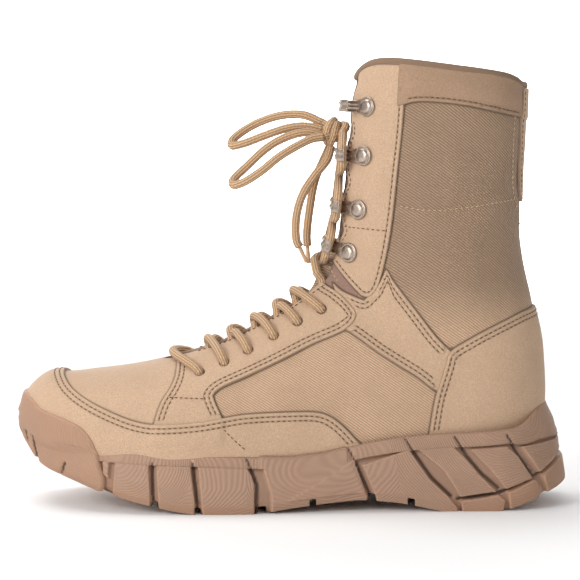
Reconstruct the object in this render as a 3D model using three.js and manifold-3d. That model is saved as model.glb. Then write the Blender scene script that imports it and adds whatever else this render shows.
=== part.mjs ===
// A left combat boot, laced to the second hook from the top, standing empty on its sole.
// Millimetres. X runs from the toe (-) to the heel (+), Y from the outer side (-) to the inner
// side (+), and Z up from the floor. The origin is on the floor at the middle of the footprint.
import * as THREE from "three";
import { mergeVertices } from "three/addons/utils/BufferGeometryUtils.js";
import Module from "manifold-3d";

const wasm = await Module();
wasm.setup();
const { Manifold, Mesh: ManifoldMesh } = wasm;

// Driving dimensions
const SOLE_LENGTH = 305;
const SOLE_HEIGHT = 42; // floor to the rim of the sole beside the heel
const BOOT_HEIGHT = 246; // floor to the top of the collar
const BALL_WIDTH = 103; // upper, across the ball of the foot
const HEEL_WIDTH = 72; // upper, across the heel
const COLLAR_WIDTH = 78; // upper, across the shaft
const SOLE_MARGIN = 4.5; // how far the midsole stands out round the upper
const WALL = 2.4; // lined upper
const OVERLAY = 1.3; // a leather panel stitched on
const HEAVY_OVERLAY = 1.7; // toe guard and heel counter
const GAP = 0.3; // between pieces that meet
const INSOLE = 4.5;
const TONGUE = 4;
const TONGUE_LAP = 9; // how far the tongue goes behind each side of the throat
const LASTING_MARGIN = 14; // the upper's turned-in edge underneath
const BLOCK_STAND = 1.8; // how far the side blocks stand out of the midsole
const LUG_DEPTH = 4.5;
const BUMPER_STAND = 2.2; // how far the toe bumper stands out of the midsole
const THROAT_FRONT = 9; // half the throat's width at its front end
const THROAT_SHAFT = 13.5; // half the throat's width at the shaft
const BINDING = 3; // the collar's bare rim above the panels
const LACE = 4.8; // diameter
const LACE_CLEAR = 0.8; // lace over the panels
const AGLET = 2.4; // diameter
const EYELET = 5.4; // punched hole
const HOOK_PLATE = 0.9;
const HOOK_WIDTH = 6.4;
const HOOK_LENGTH = 15.5; // rivet to fold
const HOOK_SLACK = 0.5; // between lace and hook
const HOOK_LIP = 6; // free end of the hook, measured back from the fold
const RIVET_RADIUS = 4.3;
const FLANGE_RADIUS = 5.4;

// Facets
const SECTIONS = 24; // rings along the last
const RING_POINTS = 28;
const SOLE_STEPS = 20;
const LACE_SIDES = 8;
const STRAND_SIDES = 6;

// A height is written as a share: 0 to 1 up the sole, and 1 to 2 from its rim to the collar.
const rise = (share) =>
  share <= 1 ? share * SOLE_HEIGHT : SOLE_HEIGHT + (share - 1) * (BOOT_HEIGHT - SOLE_HEIGHT);
const shareOf = (height) =>
  height <= SOLE_HEIGHT
    ? height / SOLE_HEIGHT
    : 1 + (height - SOLE_HEIGHT) / (BOOT_HEIGHT - SOLE_HEIGHT);
const along = (share) => share * SOLE_LENGTH;
const sidePoint = ([x, z]) => [along(x), rise(z)];

const table = (columns, rows) =>
  rows.map((row) => Object.fromEntries(columns.map((name, i) => [name, row[i]])));

// Catmull-Rom through a table's rows: every column at position t, in rows.
function rowAt(rows, t) {
  const last = rows.length - 1;
  const i = Math.min(Math.max(Math.floor(t), 0), last - 1);
  const f = t - i;
  const pick = (k) => rows[Math.min(Math.max(k, 0), last)];
  const [a, b, c, d] = [pick(i - 1), pick(i), pick(i + 1), pick(i + 2)];
  const mixed = {};
  for (const key of Object.keys(b))
    mixed[key] =
      b[key] +
      0.5 * f * (c[key] - a[key] +
        f * (2 * a[key] - 5 * b[key] + 4 * c[key] - d[key] + f * (3 * (b[key] - c[key]) + d[key] - a[key])));
  return mixed;
}

// Straight-line lookup of one column against another, which rises down the table.
function lookup(rows, key, value, wanted) {
  if (value <= rows[0][key]) return rows[0][wanted];
  for (let i = 1; i < rows.length; i++)
    if (value <= rows[i][key]) {
      const f = (value - rows[i - 1][key]) / (rows[i][key] - rows[i - 1][key]);
      return rows[i - 1][wanted] + f * (rows[i][wanted] - rows[i - 1][wanted]);
    }
  return rows[rows.length - 1][wanted];
}

// The last. Each row is one section plane of a fan that swings from upright at the toe to level at
// the collar. ridge is its end on the vamp or the front of the shaft, base its end under the foot or
// up the back. lateral and medial are half widths as shares of the width named with the rows, belly is
// where along the section it is widest, and the two rounds are superellipse powers: 2 is an ellipse.
const SECTION_COLUMNS = [
  "ridgeX", "ridgeZ", "baseX", "baseZ", "centre", "lateral", "medial", "belly", "baseRound", "ridgeRound",
];
const FOOT_ROWS = table(SECTION_COLUMNS, [
  [-0.487, 1.055, -0.487, 1.02, 0.07, 0.05, 0.05, 0.5, 2.0, 2.0],
  [-0.476, 1.096, -0.477, 0.88, 0.07, 0.165, 0.16, 0.46, 2.2, 2.1],
  [-0.44, 1.14, -0.443, 0.7, 0.065, 0.315, 0.3, 0.42, 2.6, 2.2],
  [-0.385, 1.148, -0.39, 0.56, 0.05, 0.415, 0.395, 0.38, 3.0, 2.3],
  [-0.293, 1.167, -0.302, 0.43, 0.02, 0.48, 0.455, 0.34, 3.2, 2.2],
  [-0.202, 1.194, -0.216, 0.36, 0, 0.51, 0.475, 0.3, 3.2, 2.1],
  [-0.118, 1.235, -0.131, 0.345, -0.01, 0.5, 0.465, 0.27, 3.2, 2.0],
  [-0.037, 1.3, -0.026, 0.38, -0.01, 0.46, 0.42, 0.25, 3.0, 1.95],
  [0.01, 1.35, 0.098, 0.48, -0.005, 0.415, 0.375, 0.25, 2.8, 1.95],
]);
const HEEL_ROWS = table(SECTION_COLUMNS, [
  [0.039, 1.394, 0.262, 0.59, 0, 0.55, 0.52, 0.28, 2.7, 2.0],
  [0.054, 1.426, 0.4, 0.66, 0, 0.51, 0.5, 0.3, 2.5, 2.05],
  [0.062, 1.453, 0.458, 1.03, 0, 0.495, 0.49, 0.36, 2.3, 2.1],
  [0.069, 1.483, 0.458, 1.21, 0, 0.49, 0.485, 0.42, 2.2, 2.15],
  [0.078, 1.525, 0.443, 1.338, 0, 0.49, 0.485, 0.46, 2.15, 2.2],
]);
const SHAFT_ROWS = table(SECTION_COLUMNS, [
  [0.087, 1.598, 0.42, 1.505, 0, 0.455, 0.455, 0.48, 2.15, 2.25],
  [0.094, 1.681, 0.421, 1.667, 0, 0.465, 0.465, 0.49, 2.2, 2.3],
  [0.103, 1.799, 0.425, 1.789, 0, 0.485, 0.485, 0.49, 2.25, 2.3],
  [0.113, 1.912, 0.427, 1.897, 0, 0.5, 0.5, 0.49, 2.3, 2.3],
  [0.123, 2.04, 0.428, 2.01, 0, 0.505, 0.505, 0.49, 2.3, 2.3],
]);

const inMillimetres = (row, width) => ({
  ...row,
  ridgeX: along(row.ridgeX),
  ridgeZ: rise(row.ridgeZ),
  baseX: along(row.baseX),
  baseZ: rise(row.baseZ),
  centre: row.centre * width,
  lateral: row.lateral * width,
  medial: row.medial * width,
});
const LAST = [
  ...FOOT_ROWS.map((row) => inMillimetres(row, BALL_WIDTH)),
  ...HEEL_ROWS.map((row) => inMillimetres(row, HEEL_WIDTH)),
  ...SHAFT_ROWS.map((row) => inMillimetres(row, COLLAR_WIDTH)),
];
const LAST_END = LAST.length - 1;

// A point of the last: u counts rows from the toe, v goes round from the ridge (0) by the outer side
// to the base (0.5) and back by the inner side (1).
function lastPoint(u, v) {
  const s = rowAt(LAST, u);
  const angle = 2 * Math.PI * v;
  const c = Math.cos(angle);
  const n = Math.sin(angle);
  const power = 2 / (c >= 0 ? s.ridgeRound : s.baseRound);
  const reach = Math.sign(c) * Math.abs(c) ** power;
  const share = s.belly + (c >= 0 ? 1 - s.belly : s.belly) * reach;
  const half = n >= 0 ? s.lateral : s.medial;
  return new THREE.Vector3(
    s.baseX + share * (s.ridgeX - s.baseX),
    s.centre - Math.sign(n) * half * Math.abs(n) ** power,
    s.baseZ + share * (s.ridgeZ - s.baseZ),
  );
}

// The last's outward normal, from points a short way along and round.
const NUDGE = 0.02;
function lastNormal(u, v) {
  const low = Math.max(u - NUDGE, 0);
  const high = Math.min(u + NUDGE, LAST_END);
  const alongU = lastPoint(high, v).sub(lastPoint(low, v));
  const roundV = lastPoint(u, v + NUDGE / 2).sub(lastPoint(u, v - NUDGE / 2));
  return roundV.cross(alongU).normalize();
}
const surface = (u, v, offset) => lastPoint(u, v).addScaledVector(lastNormal(u, v), offset);

function solidOf(points, triangles) {
  const made = new Manifold(
    new ManifoldMesh({
      numProp: 3,
      vertProperties: Float32Array.from(points.flatMap((p) => [p.x, p.y, p.z])),
      triVerts: Uint32Array.from(triangles),
    }),
  );
  if (made.volume() < 0) throw new Error("a solid's faces point inwards");
  return made;
}

// A closed skin over rings of equal length, each end closed by a fan to its middle.
function skin(rings) {
  const count = rings[0].length;
  const points = rings.flat();
  const triangles = [];
  for (let r = 0; r + 1 < rings.length; r++)
    for (let i = 0; i < count; i++) {
      const [a, b] = [r * count + i, r * count + ((i + 1) % count)];
      triangles.push(a, b, b + count, a, b + count, a + count);
    }
  const fan = (start, turned) => {
    const middle = new THREE.Vector3();
    for (let i = 0; i < count; i++) middle.addScaledVector(points[start + i], 1 / count);
    points.push(middle);
    for (let i = 0; i < count; i++) {
      const [a, b] = [start + i, start + ((i + 1) % count)];
      triangles.push(points.length - 1, turned ? b : a, turned ? a : b);
    }
  };
  fan(0, true);
  fan((rings.length - 1) * count, false);
  return solidOf(points, triangles);
}

// The whole last as a solid, grown or shrunk by offset.
function form(offset) {
  const ring = (u) => Array.from({ length: RING_POINTS }, (_, i) => surface(u, i / RING_POINTS, offset));
  return skin(Array.from({ length: SECTIONS + 1 }, (_, i) => ring((i / SECTIONS) * LAST_END)));
}

// A four-cornered solid that follows the ridge from row to row: share is how deep it starts along
// each section, and halfWidth(u) is half its width.
function ridgeBand(from, halfWidth, share) {
  const rings = [];
  const steps = 2 * Math.ceil(LAST_END - from);
  for (let i = 0; i <= steps; i++) {
    const u = from + ((LAST_END - from) * i) / steps;
    const s = rowAt(LAST, u);
    const w = halfWidth(u);
    const corner = (k, y) =>
      new THREE.Vector3(
        s.baseX + k * (s.ridgeX - s.baseX),
        s.centre + y,
        s.baseZ + k * (s.ridgeZ - s.baseZ),
      );
    rings.push([corner(1.4, -w), corner(share, -w), corner(share, w), corner(1.4, w)]);
  }
  return skin(rings);
}

function fromGeometry(geometry) {
  const bare = geometry.index ? geometry.toNonIndexed() : geometry;
  bare.deleteAttribute("normal");
  bare.deleteAttribute("uv");
  const merged = mergeVertices(bare, 1e-4);
  return new Manifold(
    new ManifoldMesh({
      numProp: 3,
      vertProperties: merged.attributes.position.array,
      triVerts: Uint32Array.from(merged.index.array),
    }),
  );
}

// A side-view outline in millimetres, pushed across the boot from one Y to another.
function sideCut(points, fromY = -BALL_WIDTH, toY = BALL_WIDTH) {
  const shape = new THREE.Shape(points.map(([x, z]) => new THREE.Vector2(x, z)));
  const geometry = new THREE.ExtrudeGeometry(shape, { depth: toY - fromY, bevelEnabled: false });
  return fromGeometry(geometry.rotateX(Math.PI / 2).translate(0, toY, 0));
}

// A plan outline in millimetres, pushed up through the boot.
function planCut(points, fromZ, toZ) {
  const shape = new THREE.Shape(points.map(([x, y]) => new THREE.Vector2(x, y)));
  const geometry = new THREE.ExtrudeGeometry(shape, { depth: toZ - fromZ, bevelEnabled: false });
  return fromGeometry(geometry.translate(0, 0, fromZ));
}

// An outline moved out by a distance, corner by corner.
function grown(points, distance) {
  const turn = Math.sign(THREE.ShapeUtils.area(points.map(([x, z]) => new THREE.Vector2(x, z))));
  return points.map(([x, z], i) => {
    const [ax, az] = points[(i + points.length - 1) % points.length];
    const [bx, bz] = points[(i + 1) % points.length];
    const before = new THREE.Vector2(z - az, ax - x).normalize();
    const after = new THREE.Vector2(bz - z, x - bx).normalize();
    const out = before.clone().add(after);
    out.multiplyScalar((turn * distance * 2) / Math.max(out.lengthSq(), 1));
    return [x + out.x, z + out.y];
  });
}

// The sole. Heights by length: the tread's underside, the tread's top and the rim.
const SOLE_PROFILE = table(["x", "floor", "split", "rim"], [
  [-0.5, 0.86, 0.92, 1.02],
  [-0.478, 0.66, 0.72, 0.99],
  [-0.456, 0.52, 0.61, 0.95],
  [-0.426, 0.44, 0.55, 0.88],
  [-0.384, 0.36, 0.5, 0.82],
  [-0.344, 0.26, 0.4, 0.785],
  [-0.292, 0.165, 0.31, 0.765],
  [-0.22, 0.055, 0.2, 0.75],
  [-0.175, 0, 0.145, 0.745],
  [-0.06, 0, 0.14, 0.71],
  [0, 0.07, 0.19, 0.69],
  [0.066, 0.125, 0.25, 0.74],
  [0.132, 0.165, 0.285, 0.86],
  [0.2, 0.12, 0.25, 0.94],
  [0.25, 0.05, 0.19, 0.97],
  [0.28, 0, 0.15, 0.985],
  [0.34, 0, 0.16, 1],
  [0.39, 0, 0.25, 1.005],
  [0.425, 0.08, 0.36, 1.01],
  [0.455, 0.17, 0.5, 1.03],
  [0.482, 0.27, 0.66, 1.055],
  [0.5, 0.35, 0.8, 1.07],
]);
// Half widths by length, as shares of BALL_WIDTH, or of HEEL_WIDTH where the last column is 1.
const SOLE_PLAN = table(["x", "centre", "lateral", "medial", "heel"], [
  [-0.5, 0.085, 0.4, 0.4, 0],
  [-0.42, 0.075, 0.455, 0.44, 0],
  [-0.36, 0.06, 0.48, 0.46, 0],
  [-0.29, 0.033, 0.5, 0.475, 0],
  [-0.2, 0.0125, 0.515, 0.485, 0],
  [-0.1, 0.005, 0.505, 0.47, 0],
  [0, 0.005, 0.465, 0.425, 0],
  [0.1, 0.01, 0.42, 0.38, 0],
  [0.17, 0.01, 0.41, 0.375, 0],
  [0.171, 0.015, 0.585, 0.54, 1],
  [0.3, 0.015, 0.565, 0.545, 1],
  [0.5, 0.015, 0.55, 0.54, 1],
]);
// How far the walls draw in, in millimetres: the sides by their share of the way up, the ends by height.
const SIDE_LEAN = table(["level", "side"], [
  [0, 2],
  [0.14, 0.4],
  [0.45, 0],
  [0.8, 1.2],
  [1, 2.4],
]);
const END_LEAN = table(["height", "toe", "heel"], [
  [0.38, 3.5, 0],
  [0.67, 3.5, 2],
  [0.81, 3.5, 3.5],
  [0.95, 1, 5],
  [1.02, 0, 6.5],
  [1.06, 2, 9],
  [1.09, 6, 10],
]);
const TOE_ROUND = { length: 0.26, power: 2.3 };
const HEEL_ROUND = { length: 0.15, power: 2.4 };
const SOLE_LEVELS = [0, 0.3, 0.65, 1];
const BUMPER_LEVELS = [0, 0.2, 0.4, 0.6, 0.8, 1];
const BUMPER_RISE = 0.4; // share of SOLE_HEIGHT above the rim

const profileAt = (key) => (x) => rise(lookup(SOLE_PROFILE, "x", x / SOLE_LENGTH, key));
const floorAt = profileAt("floor");
const splitAt = profileAt("split");
const rimAt = profileAt("rim");
const raised = (heightAt, by) => (x) => heightAt(x) + by;

const endRound = (share, end) =>
  share >= end.length ? 1 : (1 - (1 - share / end.length) ** end.power) ** (1 / end.power);

// A point of the sole's plan outline: share from the toe tip (0) to the heel tip (1), side -1 or 1.
function planPoint(share, side, inset) {
  const x = share - 0.5;
  const unit = lookup(SOLE_PLAN, "x", x, "heel") > 0.5 ? HEEL_WIDTH : BALL_WIDTH;
  const half = lookup(SOLE_PLAN, "x", x, side < 0 ? "lateral" : "medial") * unit + SOLE_MARGIN - inset;
  const round = endRound(share, TOE_ROUND) * endRound(1 - share, HEEL_ROUND);
  const centre = lookup(SOLE_PLAN, "x", x, "centre") * unit;
  return [x * (SOLE_LENGTH - 2 * (BUMPER_STAND + inset)), centre + side * half * round];
}

// The sole's body between two heights that follow its length, grown out by a distance.
function soleForm(grow, lowAt, highAt, levels = SOLE_LEVELS) {
  const ringAt = (level) => {
    const point = (step, side) => {
      const share = (1 - Math.cos((Math.PI * step) / SOLE_STEPS)) / 2;
      const x = along(share - 0.5);
      const toe = Math.max(0, 1 - share / 0.12);
      const heel = Math.max(0, 1 - (1 - share) / 0.14);
      const z = lowAt(x) + level * (highAt(x) - lowAt(x));
      const up = (z - floorAt(x)) / (rimAt(x) - floorAt(x));
      const sideIn = lookup(SIDE_LEAN, "level", up, "side");
      const end = (key) => lookup(END_LEAN, "height", shareOf(z), key);
      const inset = sideIn * (1 - toe - heel) + end("toe") * toe + end("heel") * heel;
      const [px, py] = planPoint(share, side, inset - grow);
      return new THREE.Vector3(px, py, z);
    };
    const outer = Array.from({ length: SOLE_STEPS + 1 }, (_, i) => point(i, -1));
    const inner = Array.from({ length: SOLE_STEPS - 1 }, (_, i) => point(SOLE_STEPS - 1 - i, 1));
    return [...outer, ...inner];
  };
  return stack(levels.map(ringAt));
}

// Rings stacked upwards, with each end closed by strips from side to side.
function stack(rings) {
  const count = rings[0].length;
  const triangles = [];
  for (let r = 0; r + 1 < rings.length; r++)
    for (let i = 0; i < count; i++) {
      const [a, b] = [r * count + i, r * count + ((i + 1) % count)];
      triangles.push(a, b, b + count, a, b + count, a + count);
    }
  const across = (start, turned) => {
    const corner = (a, b, c) => triangles.push(...(turned ? [a, c, b] : [a, b, c]).map((k) => start + k));
    for (let i = 0; i < SOLE_STEPS; i++) {
      const far = (count - i) % count;
      const farNext = count - i - 1;
      if (i > 0) corner(i, i + 1, far);
      if (i + 1 < SOLE_STEPS) corner(far, i + 1, farNext);
      else if (i === 0) corner(i, i + 1, farNext);
    }
  };
  across(0, true);
  across((rings.length - 1) * count, false);
  return solidOf(rings.flat(), triangles);
}

// Underfoot, the last's base line, level behind its heel end.
const BED = LAST.filter((row) => row.baseZ <= SOLE_HEIGHT * 1.05 && row.baseX <= along(0.41))
  .map((row) => ({ x: row.baseX, z: row.baseZ }));
const bedAt = (x) => lookup(BED, "x", x, "z");

const group = new THREE.Group();
const colours = {
  leather: 0xd3b08a,
  fabric: 0xb4926f,
  lining: 0xb79a7c,
  rubber: 0xb08c74,
  tread: 0xa98468,
  metal: 0xb9aa98,
  lace: 0xb7936c,
};
const finishes = Object.fromEntries(
  Object.entries(colours).map(([name, color]) => [
    name,
    new THREE.MeshStandardMaterial({
      color,
      roughness: name === "metal" ? 0.35 : 0.85,
      metalness: name === "metal" ? 1 : 0,
    }),
  ]),
);

function geometryOf(solid) {
  const { numProp, vertProperties, triVerts } = solid.getMesh();
  const position = new Float32Array((vertProperties.length / numProp) * 3);
  for (let i = 0; i < position.length / 3; i++)
    position.set(vertProperties.subarray(i * numProp, i * numProp + 3), i * 3);
  const geometry = new THREE.BufferGeometry();
  geometry.setAttribute("position", new THREE.BufferAttribute(position, 3));
  geometry.setIndex(new THREE.BufferAttribute(Uint32Array.from(triVerts), 1));
  geometry.computeVertexNormals();
  return geometry;
}

function addPiece(name, solid, finish) {
  const mesh = new THREE.Mesh(geometryOf(solid), finishes[finish]);
  mesh.name = name;
  group.add(mesh);
  return mesh;
}

const SIDES = [
  { name: "lateral", sign: -1 },
  { name: "medial", sign: 1 },
];

// Side-view outlines, as shares along the sole and up the boot.
const MUDGUARD = [
  [-0.52, 1.2], [-0.47, 1.19], [-0.431, 1.168], [-0.398, 1.118], [-0.373, 1.094], [-0.348, 1.076],
  [-0.316, 1.057], [-0.277, 1.038], [-0.238, 1.03], [-0.158, 1.038], [-0.081, 1.057], [0.017, 1.062],
  [0.052, 1.059], [0.075, 1.046], [0.097, 1.02], [0.114, 0.966], [0.132, 0.838], [0.132, 0.3],
  [-0.44, 0.3], [-0.47, 1], [-0.52, 1],
];
const EYESTAY = [
  [-0.205, 1.23], [-0.18, 1.26], [-0.137, 1.3], [-0.09, 1.32], [-0.062, 1.35], [-0.028, 1.39],
  [0.02, 1.42], [0.045, 1.42], [0.065, 1.391], [0.083, 1.375], [0.103, 1.35], [0.121, 1.318],
  [0.115, 1.294], [0.098, 1.273], [0.042, 1.237], [-0.015, 1.195], [-0.08, 1.151], [-0.117, 1.128],
  [-0.131, 1.115], [-0.137, 1.104], [-0.133, 1.088], [-0.119, 1.04], [-0.119, 1.019], [-0.242, 1.019],
  [-0.242, 1.032], [-0.23, 1.084], [-0.212, 1.126], [-0.205, 1.158],
];
const ANKLE_STRIP = [
  [0.077, 1.399], [0.097, 1.375], [0.134, 1.353], [0.159, 1.396], [0.173, 1.439], [0.186, 1.407],
  [0.227, 1.327], [0.266, 1.252], [0.29, 1.215], [0.271, 1.12], [0.261, 1.114], [0.23, 1.149],
  [0.195, 1.181], [0.159, 1.215], [0.124, 1.252], [0.099, 1.276], [0.1, 1.319],
];
const HOOK_FACING = [
  [0.208, 1.971], [0.202, 1.851], [0.191, 1.683], [0.185, 1.592], [0.176, 1.496], [0.161, 1.4],
  [0.151, 1.371], [0.141, 1.36], [0.128, 1.367], [0.081, 1.452], [0.074, 1.49], [0.02, 1.5], [0.02, 1.6],
  [0.06, 1.8], [0.07, 1.971],
];
const COLLAR_BAND = [
  [0.196, 2.1], [0.196, 1.871], [0.218, 1.884], [0.253, 1.885], [0.314, 1.875], [0.378, 1.855],
  [0.412, 1.842], [0.412, 2.1],
];
const COUNTER = [
  [0.247, 0.86], [0.255, 1.06], [0.263, 1.113], [0.271, 1.15], [0.279, 1.19], [0.282, 1.209],
  [0.291, 1.225], [0.314, 1.246], [0.343, 1.27], [0.384, 1.299], [0.423, 1.323], [0.52, 1.36],
  [0.52, 0.3], [0.247, 0.3],
];
const BACK_STAY = [
  [0.414, 1.938], [0.412, 1.75], [0.412, 1.66], [0.416, 1.62], [0.428, 1.606], [0.5, 1.606], [0.5, 1.938],
];
// The top line, closed far above the boot.
const COLLAR_LINE = [
  [-0.1, 1.858], [0.109, 1.858], [0.114, 1.927], [0.122, 1.962], [0.133, 1.984], [0.147, 1.996],
  [0.164, 2], [0.2, 1.998], [0.292, 1.981], [0.383, 1.962], [0.405, 1.951], [0.42, 1.938],
  [0.6, 1.935], [0.6, 2.4], [-0.1, 2.4],
];
// Lace holes and hook rivets from the front upwards.
const EYELETS = [
  [-0.161, 1.16], [-0.117, 1.184], [-0.074, 1.216], [-0.028, 1.253], [0.015, 1.291], [0.058, 1.325],
];
const RIVETS = [
  [0.109, 1.48], [0.126, 1.597], [0.135, 1.741], [0.142, 1.872],
];
// Raised blocks on both side walls of the sole.
const SIDE_BLOCKS = [
  [[-0.333, 0.72], [-0.32, 0.72], [-0.322, 0.5], [-0.329, 0.56]],
  [[-0.308, 0.68], [-0.248, 0.65], [-0.251, 0.13], [-0.316, 0.26]],
  [[-0.235, 0.63], [-0.175, 0.62], [-0.168, 0.17], [-0.233, 0.19]],
  [[-0.165, 0.62], [-0.077, 0.63], [-0.062, 0.43], [-0.061, 0.12], [-0.154, 0.14]],
  [
    [-0.048, 0.62], [0.07, 0.66], [0.1, 0.68], [0.138, 0.29], [0.105, 0.26], [0.017, 0.16], [-0.033, 0.12],
    [-0.046, 0.42],
  ],
  [[0.134, 0.6], [0.201, 0.78], [0.215, 0.78], [0.247, 0.52], [0.288, 0.2], [0.247, 0.2], [0.157, 0.28]],
  [[0.229, 0.8], [0.299, 0.82], [0.37, 0.28], [0.304, 0.19]],
  [[0.317, 0.82], [0.391, 0.84], [0.43, 0.46], [0.384, 0.32]],
  [[0.411, 0.83], [0.459, 0.94], [0.475, 0.78], [0.444, 0.55]],
];
// Raised heel cleats of the tread.
const HEEL_BLOCKS = [
  [[0.305, 0.13], [0.373, 0.2], [0.385, 0.14], [0.38, -0.1], [0.31, -0.1]],
  [[0.392, 0.22], [0.437, 0.38], [0.452, 0.26], [0.437, 0.05], [0.395, -0.1]],
  [[0.449, 0.42], [0.478, 0.62], [0.52, 0.76], [0.52, 0.2], [0.463, 0.1]],
];
const BUMPER = [
  [-0.52, 1.09], [-0.48, 1.087], [-0.442, 1.057], [-0.393, 1.035], [-0.365, 1.015], [-0.347, 0.9],
  [-0.341, 0.76], [-0.336, 0.59], [-0.329, 0.43], [-0.334, 0.2], [-0.52, 0.2],
];
// Grooves across the tread: where, how wide, and how far their middle runs ahead of their ends.
const TREAD_GROOVES = table(["x", "width", "point"], [
  [-0.397, 0.009, 0.03],
  [-0.33, 0.009, 0.03],
  [-0.242, 0.01, 0.03],
  [-0.162, 0.011, 0.025],
  [-0.049, 0.018, -0.025],
  [0.026, 0.012, -0.025],
  [0.096, 0.013, -0.025],
  [0.202, 0.013, -0.025],
  [0.308, 0.01, -0.025],
  [0.392, 0.009, -0.025],
  [0.452, 0.009, -0.025],
]);

// Where a side-view point lies on the last: Newton steps from the nearest point of a coarse search.
function findOnLast(x, z, sign) {
  const miss = (u, v) => {
    const p = lastPoint(u, v);
    return [p.x - x, p.z - z];
  };
  let best = { distance: Infinity };
  for (let u = 0; u <= LAST_END; u += 0.25)
    for (let v = 0.02; v < 0.5; v += 0.02) {
      const round = sign < 0 ? v : 1 - v;
      const distance = Math.hypot(...miss(u, round));
      if (distance < best.distance) best = { distance, u, v: round };
    }
  let { u, v } = best;
  const h = 1e-3;
  for (let i = 0; i < 12; i++) {
    const [fx, fz] = miss(u, v);
    const [ux, uz] = miss(u + h, v).map((value, k) => (value - [fx, fz][k]) / h);
    const [vx, vz] = miss(u, v + h).map((value, k) => (value - [fx, fz][k]) / h);
    const scale = ux * vz - uz * vx;
    u -= (fx * vz - fz * vx) / scale;
    v -= (ux * fz - uz * fx) / scale;
  }
  return [u, v];
}

// Sole
const upperKeepOut = form(GAP);
const bumperKeepOut = form(2 * GAP + HEAVY_OVERLAY);
const soleKeepOut = soleForm(GAP, floorAt, raised(rimAt, GAP)).add(
  soleForm(4 * SOLE_MARGIN, raised(floorAt, -LUG_DEPTH), raised(rimAt, GAP), [0, 1]));
const outlineCut = (outline, fromY, toY) => sideCut(outline.map(sidePoint), fromY, toY);
const unite = (solids) => solids.reduce((a, b) => a.add(b));

const midsoleLow = raised(splitAt, GAP);
const midsoleKeepOut = soleForm(GAP, splitAt, raised(rimAt, GAP));
const midsoleBlocks = soleForm(BLOCK_STAND, midsoleLow, rimAt).intersect(
  unite(SIDE_BLOCKS.map((outline) => outlineCut(outline))),
);
const bumperShell = soleForm(BUMPER_STAND, floorAt, raised(rimAt, rise(BUMPER_RISE)), BUMPER_LEVELS)
  .intersect(outlineCut(BUMPER));
const midsole = soleForm(0, midsoleLow, rimAt)
  .add(midsoleBlocks)
  .subtract(upperKeepOut);

const grooveCut = ({ x, width, point }) => {
  const [middle, half, lead, reach] = [along(x), along(width) / 2, along(point), BALL_WIDTH];
  const outline = [
    [middle - half, -reach], [middle + half, -reach], [middle + half - lead, 0], [middle + half, reach],
    [middle - half, reach], [middle - half - lead, 0],
  ];
  return planCut(outline, -LUG_DEPTH, Math.min(floorAt(middle), floorAt(middle - lead)) + LUG_DEPTH);
};
const channelCut = ([from, to, half]) =>
  planCut([[along(from), -half], [along(to), -half], [along(to), half], [along(from), half]], -1, LUG_DEPTH * 0.6);
const CHANNELS = [[-0.2, -0.06, 2.5], [0.27, 0.38, 2.5]];

const heelCleats = soleForm(BLOCK_STAND, floorAt, rimAt)
  .intersect(unite(HEEL_BLOCKS.map((outline) => outlineCut(outline))));
const outsole = soleForm(0, floorAt, splitAt)
  .add(bumperShell)
  .add(heelCleats)
  .subtract(midsoleKeepOut)
  .subtract(bumperKeepOut)
  .subtract(unite(TREAD_GROOVES.map(grooveCut)))
  .subtract(unite(CHANNELS.map(channelCut)));

// Upper, insole and tongue
const THROAT_START = 4.75; // in rows of the last
const throatHalf = (u) => {
  const open = Math.min(1, Math.sqrt((u - THROAT_START + 0.08) / 0.5));
  const up = Math.min(1, Math.max(0, (u - 5) / 7));
  return open * (THROAT_FRONT + up * (THROAT_SHAFT - THROAT_FRONT));
};
const throat = ridgeBand(THROAT_START, throatHalf, 0.84);
const aboveCollar = outlineCut(COLLAR_LINE);
const abovePanels = outlineCut(COLLAR_LINE).translate([0, 0, -BINDING]);
const aboveTongue = outlineCut(COLLAR_LINE).translate([0, 0, -2 * BINDING]);
const underfoot = soleForm(
  -(SOLE_MARGIN + LASTING_MARGIN), raised(floorAt, -1), (x) => bedAt(x) + WALL + INSOLE, [0, 1]);
const eyeletCut = ([x, z], sign) => {
  const [u, v] = findOnLast(along(x), rise(z), sign);
  const centre = lastPoint(u, v);
  const turn = new THREE.Quaternion().setFromUnitVectors(new THREE.Vector3(0, 1, 0), lastNormal(u, v));
  const geometry = new THREE.CylinderGeometry(EYELET / 2, EYELET / 2, 6 * WALL, 8);
  return fromGeometry(geometry.applyQuaternion(turn).translate(centre.x, centre.y, centre.z));
};
const eyelets = unite(SIDES.flatMap(({ sign }) => EYELETS.map((place) => eyeletCut(place, sign))));

const upper = form(0)
  .subtract(form(-WALL))
  .subtract(underfoot)
  .subtract(throat)
  .subtract(aboveCollar)
  .subtract(eyelets);
const insole = form(-WALL - GAP).intersect(
  soleForm(0, raised(floorAt, -1), (x) => bedAt(x) + WALL + GAP + INSOLE, [0, 1]));
const tongue = form(-WALL - GAP)
  .subtract(form(-WALL - GAP - TONGUE))
  .intersect(ridgeBand(THROAT_START - 0.6, (u) => throatHalf(Math.max(u, THROAT_START)) + TONGUE_LAP, 0.78))
  .subtract(aboveTongue);

// Panels stitched on the upper
const shells = new Map();
function panelShell(thickness) {
  if (!shells.has(thickness)) shells.set(thickness, form(GAP + thickness).subtract(upperKeepOut));
  return shells.get(thickness);
}
const margin = (outline) => grown(outline.map(sidePoint), GAP);
function panel(outline, thickness, neighbours, range = [-BALL_WIDTH, BALL_WIDTH]) {
  let solid = panelShell(thickness)
    .intersect(outlineCut(outline, ...range))
    .subtract(soleKeepOut)
    .subtract(throat)
    .subtract(abovePanels);
  for (const other of neighbours) solid = solid.subtract(sideCut(margin(other)));
  return solid;
}
const sideRange = (sign) => (sign < 0 ? [-BALL_WIDTH, -GAP / 2] : [GAP / 2, BALL_WIDTH]);

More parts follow.
